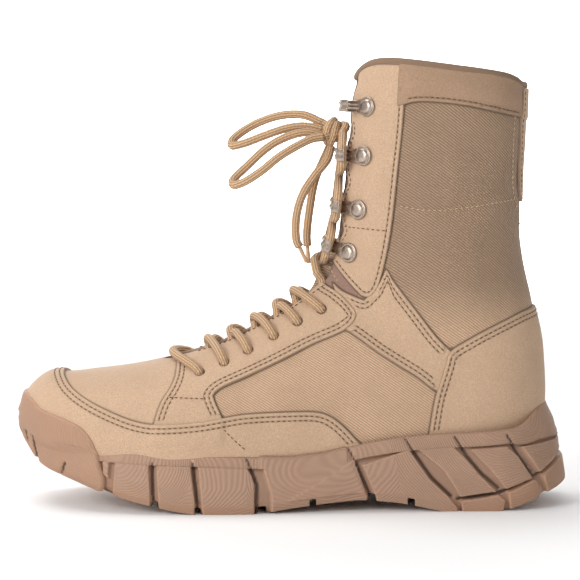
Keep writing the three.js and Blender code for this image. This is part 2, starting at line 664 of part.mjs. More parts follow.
addPiece("outsole", outsole, "tread");
addPiece("midsole", midsole, "rubber");
addPiece("insole", insole, "lining");
addPiece("upper", upper, "fabric");
addPiece("tongue", tongue, "fabric");
addPiece("mudguard", panel(MUDGUARD, HEAVY_OVERLAY, []), "leather");
addPiece("heel_counter", panel(COUNTER, HEAVY_OVERLAY, []), "leather");
addPiece("back_stay", panel(BACK_STAY, OVERLAY, []), "leather");
for (const { name, sign } of SIDES) {
  const range = sideRange(sign);
  addPiece("eyestay_" + name, panel(EYESTAY, OVERLAY, [MUDGUARD], range).subtract(eyelets), "leather");
  addPiece("ankle_strip_" + name, panel(ANKLE_STRIP, OVERLAY, [EYESTAY, HOOK_FACING, COUNTER], range), "leather");
  addPiece("hook_facing_" + name, panel(HOOK_FACING, OVERLAY, [], range), "leather");
  addPiece("collar_band_" + name, panel(COLLAR_BAND, OVERLAY, [HOOK_FACING, BACK_STAY], range), "leather");
}

// Speed hooks. Local X runs from the rivet to the throat, Y along the boot and Z outwards.
function hookFrame([x, z], sign) {
  const [u, v] = findOnLast(along(x), rise(z), sign);
  const out = lastNormal(u, v);
  const forward = lastPoint(u, v + sign * NUDGE).sub(lastPoint(u, v - sign * NUDGE));
  forward.addScaledVector(out, -forward.dot(out)).normalize();
  const seat = lastPoint(u, v).addScaledVector(out, 2 * GAP + OVERLAY);
  return new THREE.Matrix4().makeBasis(forward, out.clone().cross(forward), out).setPosition(seat);
}
const CHANNEL = LACE + 2 * HOOK_SLACK;
const channelCentre = new THREE.Vector3(
  HOOK_LENGTH - HOOK_PLATE - CHANNEL / 2, 0, HOOK_PLATE + CHANNEL / 2);

function hookSolid() {
  const [bend, inside] = [HOOK_PLATE + CHANNEL / 2, CHANNEL / 2];
  const foldX = HOOK_LENGTH - bend;
  const side = new THREE.Shape();
  side.moveTo(FLANGE_RADIUS * 0.7, 0);
  side.lineTo(foldX, 0);
  side.absarc(foldX, bend, bend, -Math.PI / 2, Math.PI / 2, false);
  side.lineTo(HOOK_LENGTH - HOOK_LIP - bend / 2, 2 * bend);
  side.lineTo(HOOK_LENGTH - HOOK_LIP - bend / 2, 2 * bend - HOOK_PLATE);
  side.lineTo(foldX, 2 * bend - HOOK_PLATE);
  side.absarc(foldX, bend, inside, Math.PI / 2, -Math.PI / 2, true);
  side.lineTo(FLANGE_RADIUS * 0.7, HOOK_PLATE);
  const fold = new THREE.ExtrudeGeometry(side, { depth: HOOK_WIDTH, bevelEnabled: false, curveSegments: 4 })
    .rotateX(Math.PI / 2)
    .translate(0, HOOK_WIDTH / 2, 0);
  const head = new THREE.LatheGeometry(
    [
      [0, 0], [FLANGE_RADIUS, 0], [FLANGE_RADIUS, HOOK_PLATE], [RIVET_RADIUS, HOOK_PLATE],
      [RIVET_RADIUS * 0.93, HOOK_PLATE + 0.9], [RIVET_RADIUS * 0.6, HOOK_PLATE + 1.7], [0, HOOK_PLATE + 2.1],
    ].map(([r, z]) => new THREE.Vector2(r, z)), 12).rotateX(Math.PI / 2);
  return fromGeometry(head).add(fromGeometry(fold));
}
const hookGeometry = geometryOf(hookSolid());

const hooks = SIDES.map(({ name, sign }) =>
  RIVETS.map((place, i) => {
    const frame = hookFrame(place, sign);
    const mesh = new THREE.Mesh(hookGeometry, finishes.metal);
    mesh.name = "lace_hook_" + name + "_" + (i + 1);
    mesh.applyMatrix4(frame);
    group.add(mesh);
    const up = new THREE.Vector3().setFromMatrixColumn(frame, 1).multiplyScalar(-sign);
    if (up.z < 0) up.negate();
    return { centre: channelCentre.clone().applyMatrix4(frame), up };
  }),
);

// Lace
function cord(points, diameter) {
  const circle = new THREE.Shape(
    Array.from({ length: LACE_SIDES }, (_, i) => {
      const angle = (2 * Math.PI * (i + 0.5)) / LACE_SIDES;
      return new THREE.Vector2(Math.cos(angle), Math.sin(angle)).multiplyScalar(diameter / 2);
    }),
  );
  const extrudePath = new THREE.CatmullRomCurve3(points, false, "centripetal");
  const steps = 2 * (points.length - 1);
  return fromGeometry(new THREE.ExtrudeGeometry(circle, { steps, extrudePath, bevelEnabled: false }));
}

// A drawn-tight stretch of the lace, straight from point to point.
function strand(route) {
  const across = new THREE.Vector3(1, 0, 0.2);
  return skin(
    route.map((point, i) => {
      const way = route[Math.min(i + 1, route.length - 1)].clone().sub(route[Math.max(i - 1, 0)]).normalize();
      across.addScaledVector(way, -across.dot(way)).normalize();
      const beside = way.clone().cross(across);
      return Array.from({ length: STRAND_SIDES }, (_, k) => {
        const angle = (2 * Math.PI * k) / STRAND_SIDES;
        return point
          .clone()
          .addScaledVector(across, (Math.cos(angle) * LACE) / 2)
          .addScaledVector(beside, (Math.sin(angle) * LACE) / 2);
      });
    }),
  );
}
const LACE_RIDE = GAP + OVERLAY + LACE_CLEAR + LACE / 2; // lace centre over the last
const lacePlaces = SIDES.map(({ sign }) =>
  EYELETS.map(([x, z]) => {
    const [u, v] = findOnLast(along(x), rise(z), sign);
    return [u, sign < 0 ? v : v - 1];
  }),
);
// A strand from one place to another over the ridge, at a constant height over the last.
const overRidge = ([u0, v0], [u1, v1], from = 0, to = 1, steps = 6) =>
  Array.from({ length: steps }, (_, i) => {
    const f = from + ((to - from) * i) / (steps - 1);
    return surface(u0 + f * (u1 - u0), v0 + f * (v1 - v0), LACE_RIDE);
  });
// The knot, half its size along X, Y and Z, and its lump, placed from the knot's centre.
const KNOT_AT = sidePoint([0.0754, 1.8039]);
const KNOT = [4.6, 8, 8.5];
const KNOT_LUMP = { at: [5.6, -3.5, 2.5], radius: 3.6 };
const KNOT_SIDE = [2.2, 8.3, -1.8]; // where the strands from the hooks reach the knot
const byKnot = ([x, y, z]) => new THREE.Vector3(KNOT_AT[0] + x, y, KNOT_AT[1] + z);
const KNOT_HOOK = 3; // the lace is tied above this hook
const HOOK_BOW = 2.5; // how far a strand stands forward between two hooks

const strands = [strand(overRidge(lacePlaces[0][0], lacePlaces[1][0]))];
for (const side of [0, 1]) {
  const [near, far] = [lacePlaces[side], lacePlaces[1 - side]];
  for (let i = 0; i + 1 < near.length; i++) strands.push(strand(overRidge(near[i], far[i + 1])));
  let route = [];
  let here = side;
  for (let k = 0; k < KNOT_HOOK; k++) {
    here = 1 - here;
    const { centre, up } = hooks[here][k];
    if (k === 0) {
      const target = findOnLast(...[centre.x, centre.z], SIDES[here].sign);
      const end = [target[0], here === 0 ? target[1] : target[1] - 1];
      route = overRidge(near[near.length - 1], end, 0, 0.72, 4);
    } else {
      const middle = route[route.length - 1].clone().add(centre).multiplyScalar(0.5);
      route.push(middle.add(new THREE.Vector3(-HOOK_BOW, 0, 0)));
    }
    for (const share of [-0.9, -0.45, 0.45, 0.9])
      route.push(centre.clone().addScaledVector(up, share * HOOK_WIDTH));
  }
  route.push(byKnot([KNOT_SIDE[0], SIDES[here].sign * KNOT_SIDE[1], KNOT_SIDE[2]]));
  strands.push(strand(route));
}
addPiece("lace_crossings", unite(strands), "lace");

// The bow. Each row is a point of the lace's middle line, in millimetres from the knot's centre.
const LOOP_UPPER = [
  [-4.6, 5.2, 4.9], [-15, 9, 9.3], [-27, 13, 9.3], [-39, 16, 5.8], [-49, 15.5, 0.5], [-55.5, 11.5, -5],
  [-55.2, 6.5, -7.8], [-49, 3.5, -6.5], [-37, 2.2, -2], [-25, 1.8, 2], [-15, 1.8, 3.2], [-5, 1.4, 1.3],
];
const LOOP_LOWER = [
  [-4.9, -2.4, -2.3], [-14, -3.2, -0.2], [-26, -4, -3.2], [-36, -4.5, -9], [-47, -5.5, -19],
  [-54.5, -8.5, -26.5], [-54, -13.5, -29.2], [-48, -17, -27.2], [-39, -17.5, -21.5], [-29, -15.5, -13.5],
  [-18, -12, -7], [-10.5, -9.4, -3.6], [-4.6, -7.6, -2.8],
];
const END_LONG = [
  [-0.2, -3.4, -8.3], [-2.5, -7.5, -15.5], [-9, -9, -23.5], [-16, -9, -34.5], [-19.6, -9, -47.5], [-19.4, -8.5, -60],
  [-17.8, -8, -63.5],
];
const END_SHORT = [
  [-1, 2.8, -8.3], [-4.5, 6.5, -16], [-9, 7, -27], [-12, 7, -43], [-13.6, 7, -58], [-13.2, 7, -64],
];
const AGLET_LENGTH = 9.5;
const points = (rows) => rows.map(byKnot);

const knot = fromGeometry(new THREE.SphereGeometry(1, 14, 8).scale(...KNOT).translate(...byKnot([0, 0, 0]))).add(
  fromGeometry(new THREE.SphereGeometry(KNOT_LUMP.radius, 10, 6).translate(...byKnot(KNOT_LUMP.at))));
addPiece("lace_knot", knot, "lace");
for (const [name, rows] of Object.entries({
  lace_loop_upper: LOOP_UPPER, lace_loop_lower: LOOP_LOWER, lace_end_long: END_LONG, lace_end_short: END_SHORT,
}))
  addPiece(name, cord(points(rows), LACE), "lace");
for (const [name, rows] of Object.entries({ aglet_long: END_LONG, aglet_short: END_SHORT })) {
  const [before, last] = points(rows).slice(-2);
  const way = last.clone().sub(before).normalize();
  const start = last.clone().addScaledVector(way, GAP);
  addPiece(name, cord([start, start.clone().addScaledVector(way, AGLET_LENGTH)], AGLET), "lace");
}

export default group;
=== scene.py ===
"""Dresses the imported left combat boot: leather, twill, rubber, hooks, stitching and lace."""

import math

import bmesh
import bpy
import numpy as np
from mathutils import Matrix, Vector, kdtree, noise


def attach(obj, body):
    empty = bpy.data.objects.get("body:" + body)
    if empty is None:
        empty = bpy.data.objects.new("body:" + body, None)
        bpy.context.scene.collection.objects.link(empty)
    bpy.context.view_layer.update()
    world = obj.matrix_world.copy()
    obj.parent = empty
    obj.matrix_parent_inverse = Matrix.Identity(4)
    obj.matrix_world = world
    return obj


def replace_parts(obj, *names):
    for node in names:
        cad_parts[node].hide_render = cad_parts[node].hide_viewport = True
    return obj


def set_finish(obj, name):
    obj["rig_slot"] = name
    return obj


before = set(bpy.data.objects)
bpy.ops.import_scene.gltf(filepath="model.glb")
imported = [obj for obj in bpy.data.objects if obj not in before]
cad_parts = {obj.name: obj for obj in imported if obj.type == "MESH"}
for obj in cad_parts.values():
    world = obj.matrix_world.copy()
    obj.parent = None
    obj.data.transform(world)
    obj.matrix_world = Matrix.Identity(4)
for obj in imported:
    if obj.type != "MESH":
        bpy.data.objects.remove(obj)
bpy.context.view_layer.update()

bl_info = {
    "name": "Combat boot",
    "version": (1, 0, 0),
    "blender": (4, 5, 0),
    "location": "3D View > Sidebar > Boot",
    "description": "Builds a laced left combat boot over its packed solids",
    "category": "Add Mesh",
}

MM = 0.001

# ---------------------------------------------------------------------------
# Sizes and shapes, in millimetres, the same as in the part's source
# ---------------------------------------------------------------------------

SOLE_LENGTH, SOLE_HEIGHT, BOOT_HEIGHT = 305.0, 42.0, 246.0
BALL_WIDTH, HEEL_WIDTH, COLLAR_WIDTH = 103.0, 72.0, 78.0
SOLE_MARGIN, BUMPER_STAND, BLOCK_STAND = 4.5, 2.2, 1.8
WALL, OVERLAY, HEAVY_OVERLAY, GAP = 2.4, 1.3, 1.7, 0.3
BINDING, INSOLE, TONGUE, TONGUE_LAP = 3.0, 4.5, 4.0, 9.0
LACE, AGLET, EYELET = 4.8, 2.4, 5.4
HOOK_PLATE, HOOK_WIDTH, HOOK_LENGTH, HOOK_SLACK, HOOK_LIP = 0.9, 6.4, 15.5, 0.5, 6.0
LUG_DEPTH = 4.5
THROAT_START, THROAT_FRONT, THROAT_SHAFT = 4.75, 9.0, 13.5
UPPER_HEIGHT = BOOT_HEIGHT - SOLE_HEIGHT


def rise(share):
    """Height for a share: 0 to 1 up the sole, 1 to 2 from its rim to the collar."""
    share = np.asarray(share, float)
    return np.where(share <= 1, share * SOLE_HEIGHT, SOLE_HEIGHT + (share - 1) * UPPER_HEIGHT)


def share_of(height):
    """The share for a height."""
    return np.where(height <= SOLE_HEIGHT, height / SOLE_HEIGHT, 1 + (height - SOLE_HEIGHT) / UPPER_HEIGHT)


def side_points(shares):
    """Side-view points in millimetres from shares along and up the boot."""
    rows = np.array(shares, float)
    return np.stack([rows[:, 0] * SOLE_LENGTH, rise(rows[:, 1])], axis=1)


# Cross-sections of the last, from the toe to the collar: ridge x and z, base x and z, then centre,
# lateral and medial half widths as shares of the part's width, the belly's height as a share, and
# how round the base and the ridge are.
FOOT_ROWS = [
    [-0.487, 1.055, -0.487, 1.02, 0.07, 0.05, 0.05, 0.5, 2.0, 2.0],
    [-0.476, 1.096, -0.477, 0.88, 0.07, 0.165, 0.16, 0.46, 2.2, 2.1],
    [-0.44, 1.14, -0.443, 0.7, 0.065, 0.315, 0.3, 0.42, 2.6, 2.2],
    [-0.385, 1.148, -0.39, 0.56, 0.05, 0.415, 0.395, 0.38, 3.0, 2.3],
    [-0.293, 1.167, -0.302, 0.43, 0.02, 0.48, 0.455, 0.34, 3.2, 2.2],
    [-0.202, 1.194, -0.216, 0.36, 0, 0.51, 0.475, 0.3, 3.2, 2.1],
    [-0.118, 1.235, -0.131, 0.345, -0.01, 0.5, 0.465, 0.27, 3.2, 2.0],
    [-0.037, 1.3, -0.026, 0.38, -0.01, 0.46, 0.42, 0.25, 3.0, 1.95],
    [0.01, 1.35, 0.098, 0.48, -0.005, 0.415, 0.375, 0.25, 2.8, 1.95],
]
HEEL_ROWS = [
    [0.039, 1.394, 0.262, 0.59, 0, 0.55, 0.52, 0.28, 2.7, 2.0],
    [0.054, 1.426, 0.4, 0.66, 0, 0.51, 0.5, 0.3, 2.5, 2.05],
    [0.062, 1.453, 0.458, 1.03, 0, 0.495, 0.49, 0.36, 2.3, 2.1],
    [0.069, 1.483, 0.458, 1.21, 0, 0.49, 0.485, 0.42, 2.2, 2.15],
    [0.078, 1.525, 0.443, 1.338, 0, 0.49, 0.485, 0.46, 2.15, 2.2],
]
SHAFT_ROWS = [
    [0.087, 1.598, 0.42, 1.505, 0, 0.455, 0.455, 0.48, 2.15, 2.25],
    [0.094, 1.681, 0.421, 1.667, 0, 0.465, 0.465, 0.49, 2.2, 2.3],
    [0.103, 1.799, 0.425, 1.789, 0, 0.485, 0.485, 0.49, 2.25, 2.3],
    [0.113, 1.912, 0.427, 1.897, 0, 0.5, 0.5, 0.49, 2.3, 2.3],
    [0.123, 2.04, 0.428, 2.01, 0, 0.505, 0.505, 0.49, 2.3, 2.3],
]


def last_table():
    """The rows of the last in millimetres."""
    rows = []
    for part, width in ((FOOT_ROWS, BALL_WIDTH), (HEEL_ROWS, HEEL_WIDTH), (SHAFT_ROWS, COLLAR_WIDTH)):
        for r in part:
            rows.append([r[0] * SOLE_LENGTH, float(rise(r[1])), r[2] * SOLE_LENGTH, float(rise(r[3])),
                         r[4] * width, r[5] * width, r[6] * width, r[7], r[8], r[9]])
    return np.array(rows)


LAST = last_table()
LAST_END = len(LAST) - 1.0
RIDGE_X, RIDGE_Z, BASE_X, BASE_Z, CENTRE, LATERAL, MEDIAL, BELLY, BASE_ROUND, RIDGE_ROUND = range(10)


def last_rows(u):
    """Rows of the last at positions u, by a Catmull-Rom curve."""
    u = np.asarray(u, float)
    i = np.clip(np.floor(u).astype(int), 0, len(LAST) - 2)
    f = (u - i)[..., None]
    a, b, c, d = (LAST[np.clip(i + k, 0, len(LAST) - 1)] for k in (-1, 0, 1, 2))
    return b + 0.5 * f * (c - a + f * (2 * a - 5 * b + 4 * c - d + f * (3 * (b - c) + d - a)))


def last_point(u, v):
    """Points of the last: v runs from the ridge (0) by the outer side to the base (0.5)."""
    u, v = np.broadcast_arrays(np.asarray(u, float), np.asarray(v, float))
    s = last_rows(u)
    c, n = np.cos(2 * np.pi * v), np.sin(2 * np.pi * v)
    power = 2 / np.where(c >= 0, s[..., RIDGE_ROUND], s[..., BASE_ROUND])
    reach = np.sign(c) * np.abs(c) ** power
    belly = s[..., BELLY]
    share = belly + np.where(c >= 0, 1 - belly, belly) * reach
    half = np.where(n >= 0, s[..., LATERAL], s[..., MEDIAL])
    return np.stack([
        s[..., BASE_X] + share * (s[..., RIDGE_X] - s[..., BASE_X]),
        s[..., CENTRE] - np.sign(n) * half * np.abs(n) ** power,
        s[..., BASE_Z] + share * (s[..., RIDGE_Z] - s[..., BASE_Z]),
    ], axis=-1)


def unit(vectors):
    """Vectors of length 1."""
    return vectors / np.maximum(np.linalg.norm(vectors, axis=-1, keepdims=True), 1e-9)


def last_normal(u, v, nudge=0.02):
    """Outward normals of the last."""
    u, v = np.broadcast_arrays(np.asarray(u, float), np.asarray(v, float))
    low, high = np.maximum(u - nudge, 0), np.minimum(u + nudge, LAST_END)
    along = last_point(high, v) - last_point(low, v)
    around = last_point(u, v + nudge / 2) - last_point(u, v - nudge / 2)
    return unit(np.cross(around, along))


def find_on_last(x, z, sign):
    """Where a side-view point lies on the last."""
    us, vs = np.meshgrid(np.arange(0, LAST_END + 0.01, 0.25), np.arange(0.02, 0.5, 0.02), indexing="ij")
    if sign > 0:
        vs = 1 - vs
    p = last_point(us, vs)
    k = np.argmin(np.hypot(p[..., 0] - x, p[..., 2] - z))
    u, v = us.flat[k], vs.flat[k]
    h = 1e-3
    for _ in range(12):
        q = last_point(np.array([u, u + h, u]), np.array([v, v, v + h]))[:, [0, 2]] - (x, z)
        step = np.linalg.solve(np.array([(q[1] - q[0]) / h, (q[2] - q[0]) / h]).T, q[0])
        u, v = u - step[0], v - step[1]
    return float(u), float(v)


# Side view of the sole: x, floor, line between tread and midsole, and rim, as shares.
SOLE_PROFILE = np.array([
    [-0.5, 0.86, 0.92, 1.02], [-0.478, 0.66, 0.72, 0.99], [-0.456, 0.54, 0.63, 0.95], [-0.426, 0.485, 0.585, 0.88],
    [-0.384, 0.4, 0.53, 0.82], [-0.344, 0.295, 0.43, 0.785], [-0.292, 0.17, 0.31, 0.765], [-0.22, 0.055, 0.2, 0.75],
    [-0.175, 0, 0.145, 0.745], [-0.06, 0, 0.14, 0.71], [0, 0.07, 0.19, 0.69], [0.066, 0.125, 0.25, 0.74],
    [0.132, 0.165, 0.285, 0.86], [0.2, 0.12, 0.25, 0.94], [0.25, 0.05, 0.19, 0.97], [0.28, 0, 0.15, 0.985],
    [0.34, 0, 0.16, 1], [0.39, 0, 0.25, 1.005], [0.425, 0.08, 0.36, 1.01], [0.455, 0.17, 0.5, 1.03],
    [0.482, 0.27, 0.66, 1.055], [0.5, 0.35, 0.8, 1.07],
])
# Plan of the sole: x, centre, lateral, medial, and 1 where the shares are of the heel's width.
SOLE_PLAN = np.array([
    [-0.5, 0.085, 0.4, 0.4, 0], [-0.42, 0.075, 0.455, 0.44, 0], [-0.36, 0.06, 0.48, 0.46, 0],
    [-0.29, 0.033, 0.5, 0.475, 0], [-0.2, 0.0125, 0.515, 0.485, 0], [-0.1, 0.005, 0.505, 0.47, 0],
    [0, 0.005, 0.465, 0.425, 0], [0.1, 0.01, 0.42, 0.38, 0], [0.17, 0.01, 0.41, 0.375, 0],
    [0.171, 0.015, 0.585, 0.54, 1], [0.3, 0.015, 0.565, 0.545, 1], [0.5, 0.015, 0.55, 0.54, 1],
])
# How far the wall leans in, in millimetres: on the sides by its share of the sole's height, and at
# the ends by height, at the toe and at the heel.
SIDE_LEAN = np.array([[0, 2], [0.14, 0.4], [0.45, 0], [0.8, 1.2], [1, 2.4]])
END_LEAN = np.array([
    [0.38, 3.5, 0], [0.67, 3.5, 2], [0.81, 3.5, 3.5], [0.95, 1, 5], [1.02, 0, 6.5], [1.06, 2, 9], [1.09, 6, 10],
])
# How much of the length each end takes to narrow, and the power of its curve.
TOE_ROUND, HEEL_ROUND = (0.26, 2.3), (0.15, 2.4)
PLAN_UNIT = np.where(SOLE_PLAN[:, 4] > 0.5, HEEL_WIDTH, BALL_WIDTH)


def eased(x, xs, ys, reach):
    """A table read along x with its corners rounded over a short reach."""
    offsets = np.linspace(-1, 1, 9) * reach
    return np.mean([np.interp(np.clip(x + o, xs[0], xs[-1]), xs, ys) for o in offsets], axis=0)


def profile_at(column, x):
    """A height of the sole at x millimetres."""
    return eased(np.asarray(x, float) / SOLE_LENGTH, SOLE_PROFILE[:, 0], rise(SOLE_PROFILE[:, column]), 0.014)


def floor_at(x):
    """The tread's underside."""
    return profile_at(1, x)


def split_at(x):
    """The line between tread and midsole."""
    return profile_at(2, x)


def rim_at(x):
    """The midsole's top edge."""
    return profile_at(3, x)


def end_round(share, end):
    """How the plan narrows to a rounded end."""
    length, power = end
    return np.where(share >= length, 1.0, (1 - (1 - np.clip(share / length, 0, 1)) ** power) ** (1 / power))


def plan_point(share, side, inset):
    """A point of the sole's plan outline."""
    x = share - 0.5
    columns = (SOLE_PLAN[:, 1] * PLAN_UNIT, SOLE_PLAN[:, 2] * PLAN_UNIT, SOLE_PLAN[:, 3] * PLAN_UNIT)
    centre, lateral, medial = (eased(x, SOLE_PLAN[:, 0], c, 0.03) for c in columns)
    half = np.where(side < 0, lateral, medial) + SOLE_MARGIN - inset
    taper = end_round(share, TOE_ROUND) * end_round(1 - share, HEEL_ROUND)
    return x * (SOLE_LENGTH - 2 * (BUMPER_STAND + inset)), centre + side * half * taper


# Side-view outlines, as shares along the sole and up the boot.
MUDGUARD = [
    [-0.52, 1.2], [-0.47, 1.19], [-0.431, 1.168], [-0.398, 1.118], [-0.373, 1.094], [-0.348, 1.076],
    [-0.316, 1.057], [-0.277, 1.038], [-0.238, 1.03], [-0.158, 1.038], [-0.081, 1.057], [0.017, 1.062],
    [0.052, 1.059], [0.075, 1.046], [0.097, 1.02], [0.114, 0.966], [0.132, 0.838], [0.132, 0.3],
    [-0.52, 0.3],
]
EYESTAY = [
    [-0.205, 1.23], [-0.18, 1.26], [-0.137, 1.3], [-0.09, 1.32], [-0.062, 1.35], [-0.028, 1.39],
    [0.02, 1.42], [0.045, 1.42], [0.065, 1.391], [0.083, 1.375], [0.103, 1.35], [0.121, 1.318],
    [0.115, 1.294], [0.098, 1.273], [0.042, 1.237], [-0.015, 1.195], [-0.08, 1.151], [-0.117, 1.128],
    [-0.131, 1.115], [-0.137, 1.104], [-0.133, 1.088], [-0.119, 1.04], [-0.119, 0.9], [-0.25, 0.9],
    [-0.242, 1.032], [-0.23, 1.084], [-0.212, 1.126], [-0.205, 1.158],
]
ANKLE_STRIP = [
    [0.077, 1.399], [0.097, 1.375], [0.134, 1.353], [0.159, 1.396], [0.173, 1.439], [0.186, 1.407],
    [0.227, 1.327], [0.266, 1.252], [0.3, 1.205], [0.281, 1.11], [0.261, 1.114], [0.23, 1.149],
    [0.195, 1.181], [0.159, 1.215], [0.124, 1.252], [0.089, 1.286], [0.09, 1.329],
]
HOOK_FACING = [
    [0.208, 2.05], [0.202, 1.851], [0.191, 1.683], [0.185, 1.592], [0.176, 1.496], [0.161, 1.4],
    [0.151, 1.371], [0.141, 1.36], [0.128, 1.367], [0.081, 1.452], [0.074, 1.49], [0.02, 1.5], [0.02, 1.6],
    [0.06, 1.8], [0.07, 2.05],
]
COLLAR_BAND = [
    [0.186, 2.1], [0.186, 1.868], [0.218, 1.884], [0.253, 1.885], [0.314, 1.875], [0.378, 1.855],
    [0.44, 1.835], [0.44, 2.1],
]
COUNTER = [
    [0.247, 0.86], [0.255, 1.06], [0.263, 1.113], [0.271, 1.15], [0.279, 1.19], [0.282, 1.209],
    [0.291, 1.225], [0.314, 1.246], [0.343, 1.27], [0.384, 1.299], [0.423, 1.323], [0.52, 1.36],
    [0.52, 0.3], [0.247, 0.3],
]
BACK_STAY = [
    [0.414, 1.99], [0.412, 1.75], [0.412, 1.66], [0.416, 1.62], [0.428, 1.606], [0.5, 1.606], [0.5, 1.99],
]
ANKLE_GUSSET = [[0.02, 1.42], [0.075, 1.37], [0.11, 1.35], [0.13, 1.37], [0.09, 1.45], [0.078, 1.5], [0.02, 1.56]]
COLLAR_LINE = [
    [-0.1, 1.858], [0.109, 1.858], [0.114, 1.927], [0.122, 1.962], [0.133, 1.984], [0.147, 1.996],
    [0.164, 2], [0.2, 1.998], [0.292, 1.981], [0.383, 1.962], [0.405, 1.951], [0.42, 1.938],
    [0.6, 1.935], [0.6, 2.4], [-0.1, 2.4],
]
EYELETS = [[-0.161, 1.16], [-0.117, 1.184], [-0.074, 1.216], [-0.028, 1.253], [0.015, 1.291], [0.058, 1.325]]
RIVETS = [[0.109, 1.48], [0.126, 1.597], [0.135, 1.741], [0.142, 1.872]]
SIDE_BLOCKS = [
    [[-0.333, 0.72], [-0.32, 0.72], [-0.322, 0.45], [-0.331, 0.5]],
    [[-0.31, 0.69], [-0.25, 0.655], [-0.247, 0.2], [-0.249, -0.1], [-0.318, -0.1], [-0.314, 0.26]],
    [[-0.237, 0.64], [-0.176, 0.63], [-0.168, 0.17], [-0.17, -0.1], [-0.231, -0.1], [-0.233, 0.2]],
    [[-0.163, 0.63], [-0.079, 0.64], [-0.068, 0.5], [-0.063, 0.38], [-0.064, -0.1], [-0.153, -0.1], [-0.157, 0.14]],
    [[-0.054, 0.95], [-0.052, 0.68], [-0.042, 0.43], [-0.034, 0.25], [-0.034, -0.1], [0.134, -0.1], [0.138, 0.2],
     [0.102, 0.95]],
    [[0.128, 0.614], [0.212, 0.815], [0.249, 0.431], [0.284, 0.195], [0.3, 0.05], [0.3, -0.1], [0.157, -0.1],
     [0.154, 0.179]],
    [[0.227, 0.82], [0.292, 0.845], [0.311, 0.717], [0.338, 0.486], [0.37, 0.26], [0.304, 0.19], [0.276, 0.522]],
    [[0.32, 0.81], [0.387, 0.845], [0.407, 0.71], [0.433, 0.415], [0.385, 0.285], [0.356, 0.557]],
    [[0.413, 0.83], [0.44, 0.85], [0.47, 0.87], [0.54, 0.9], [0.54, 0.86], [0.49, 0.7], [0.478, 0.665],
     [0.446, 0.48]],
]
# The middle block's lower corner stands a little further out.
STEP_BLOCK = [[0.045, 0.38], [0.11, 0.66], [0.137, 0.2], [0.134, -0.1], [-0.03, -0.1], [0.0, 0.2]]
# Thin deep slits at the toe side of each gap.
SLITS = [
    [[-0.245, 0.66], [-0.244, -0.1]], [[-0.173, 0.69], [-0.165, 0.15], [-0.166, -0.1]],
    [[-0.078, 0.74], [-0.065, 0.5], [-0.059, 0.38], [-0.061, -0.1]], [[0.105, 0.82], [0.144, 0.2], [0.15, -0.1]],
    [[0.203, 0.98], [0.217, 0.81], [0.254, 0.431], [0.288, 0.195]],
    [[0.294, 0.97], [0.316, 0.717], [0.343, 0.486], [0.373, 0.3]],
    [[0.388, 0.98], [0.412, 0.71], [0.438, 0.45]],
    [[0.3, 0.16], [0.318, 0.18], [0.371, 0.235], [0.41, 0.315], [0.448, 0.46], [0.475, 0.62], [0.49, 0.685],
     [0.54, 0.86]],
]
HEEL_BLOCKS = [
    [[0.305, 0.145], [0.373, 0.22], [0.385, 0.14], [0.38, -0.1], [0.31, -0.1]],
    [[0.389, 0.25], [0.437, 0.4], [0.452, 0.26], [0.437, 0.05], [0.395, -0.1]],
    [[0.451, 0.45], [0.478, 0.615], [0.49, 0.66], [0.53, 0.8], [0.53, 0.2], [0.463, 0.1]],
]
BUMPER = [
    [-0.52, 1.09], [-0.48, 1.087], [-0.442, 1.057], [-0.393, 1.035], [-0.365, 1.015], [-0.347, 0.9],
    [-0.341, 0.76], [-0.336, 0.59], [-0.329, 0.43], [-0.334, 0.2], [-0.52, 0.2],
]
BUMPER_SLITS = [
    [[-0.462, 0.93], [-0.459, 0.78], [-0.452, 0.6]], [[-0.487, 1.0], [-0.485, 0.88]],
    [[-0.476, 0.97], [-0.473, 0.84]], [[-0.4, 0.61], [-0.406, 0.49]],
]
# Grooves across the tread: x, width and how far the middle runs ahead of the ends, as shares.
TREAD_GROOVES = [
    [-0.397, 0.009, 0.03], [-0.33, 0.009, 0.03], [-0.2255, 0.01, 0.03], [-0.152, 0.011, 0.025],
    [-0.063, 0.018, -0.025], [0.026, 0.012, -0.025], [0.132, 0.013, -0.025], [0.202, 0.013, -0.025],
    [0.286, 0.01, -0.025], [0.3735, 0.009, -0.025], [0.452, 0.009, -0.025],
]
# Grooves along the tread: start and stop as shares, and half the width.
CHANNELS = [[-0.2, -0.06, 2.5], [0.27, 0.38, 2.5]]

# The bow, in millimetres from the knot's centre.
KNOT_AT = np.array([0.0754 * SOLE_LENGTH, 0.0, float(rise(1.8039))])
KNOT_SIDE = (6.6, 6.2, -1.4)  # where a strand from a hook enters the knot
KNOT_HOOK = 3  # the lace is tied above this hook
HOOK_BOW = 0.2  # how far a strand stands forward between two hooks
KNOT_RINGS = [
    [(1.4, -1.5, 6.2), (-0.6, -4.4, 4.6), (-2.1, -5.7, 1.4), (-2.7, -5.6, -1.6), (-2.6, -4.0, -4.4),
     (-1.8, -0.4, -5.6), (-1.0, 3.8, -4.0), (-0.8, 5.6, 0.0), (0.0, 4.6, 3.8), (1.2, 1.6, 5.8)],
    [(-0.9, -1.0, -6.4), (-0.1, -4.8, -5.0), (1.2, -6.0, -1.8), (1.9, -5.8, 1.2), (2.6, -4.4, 3.6),
     (3.0, -0.6, 4.4), (2.6, 3.6, 3.2), (1.4, 5.4, 0.0), (0.2, 4.2, -3.8), (-0.7, 1.4, -6.0)],
]
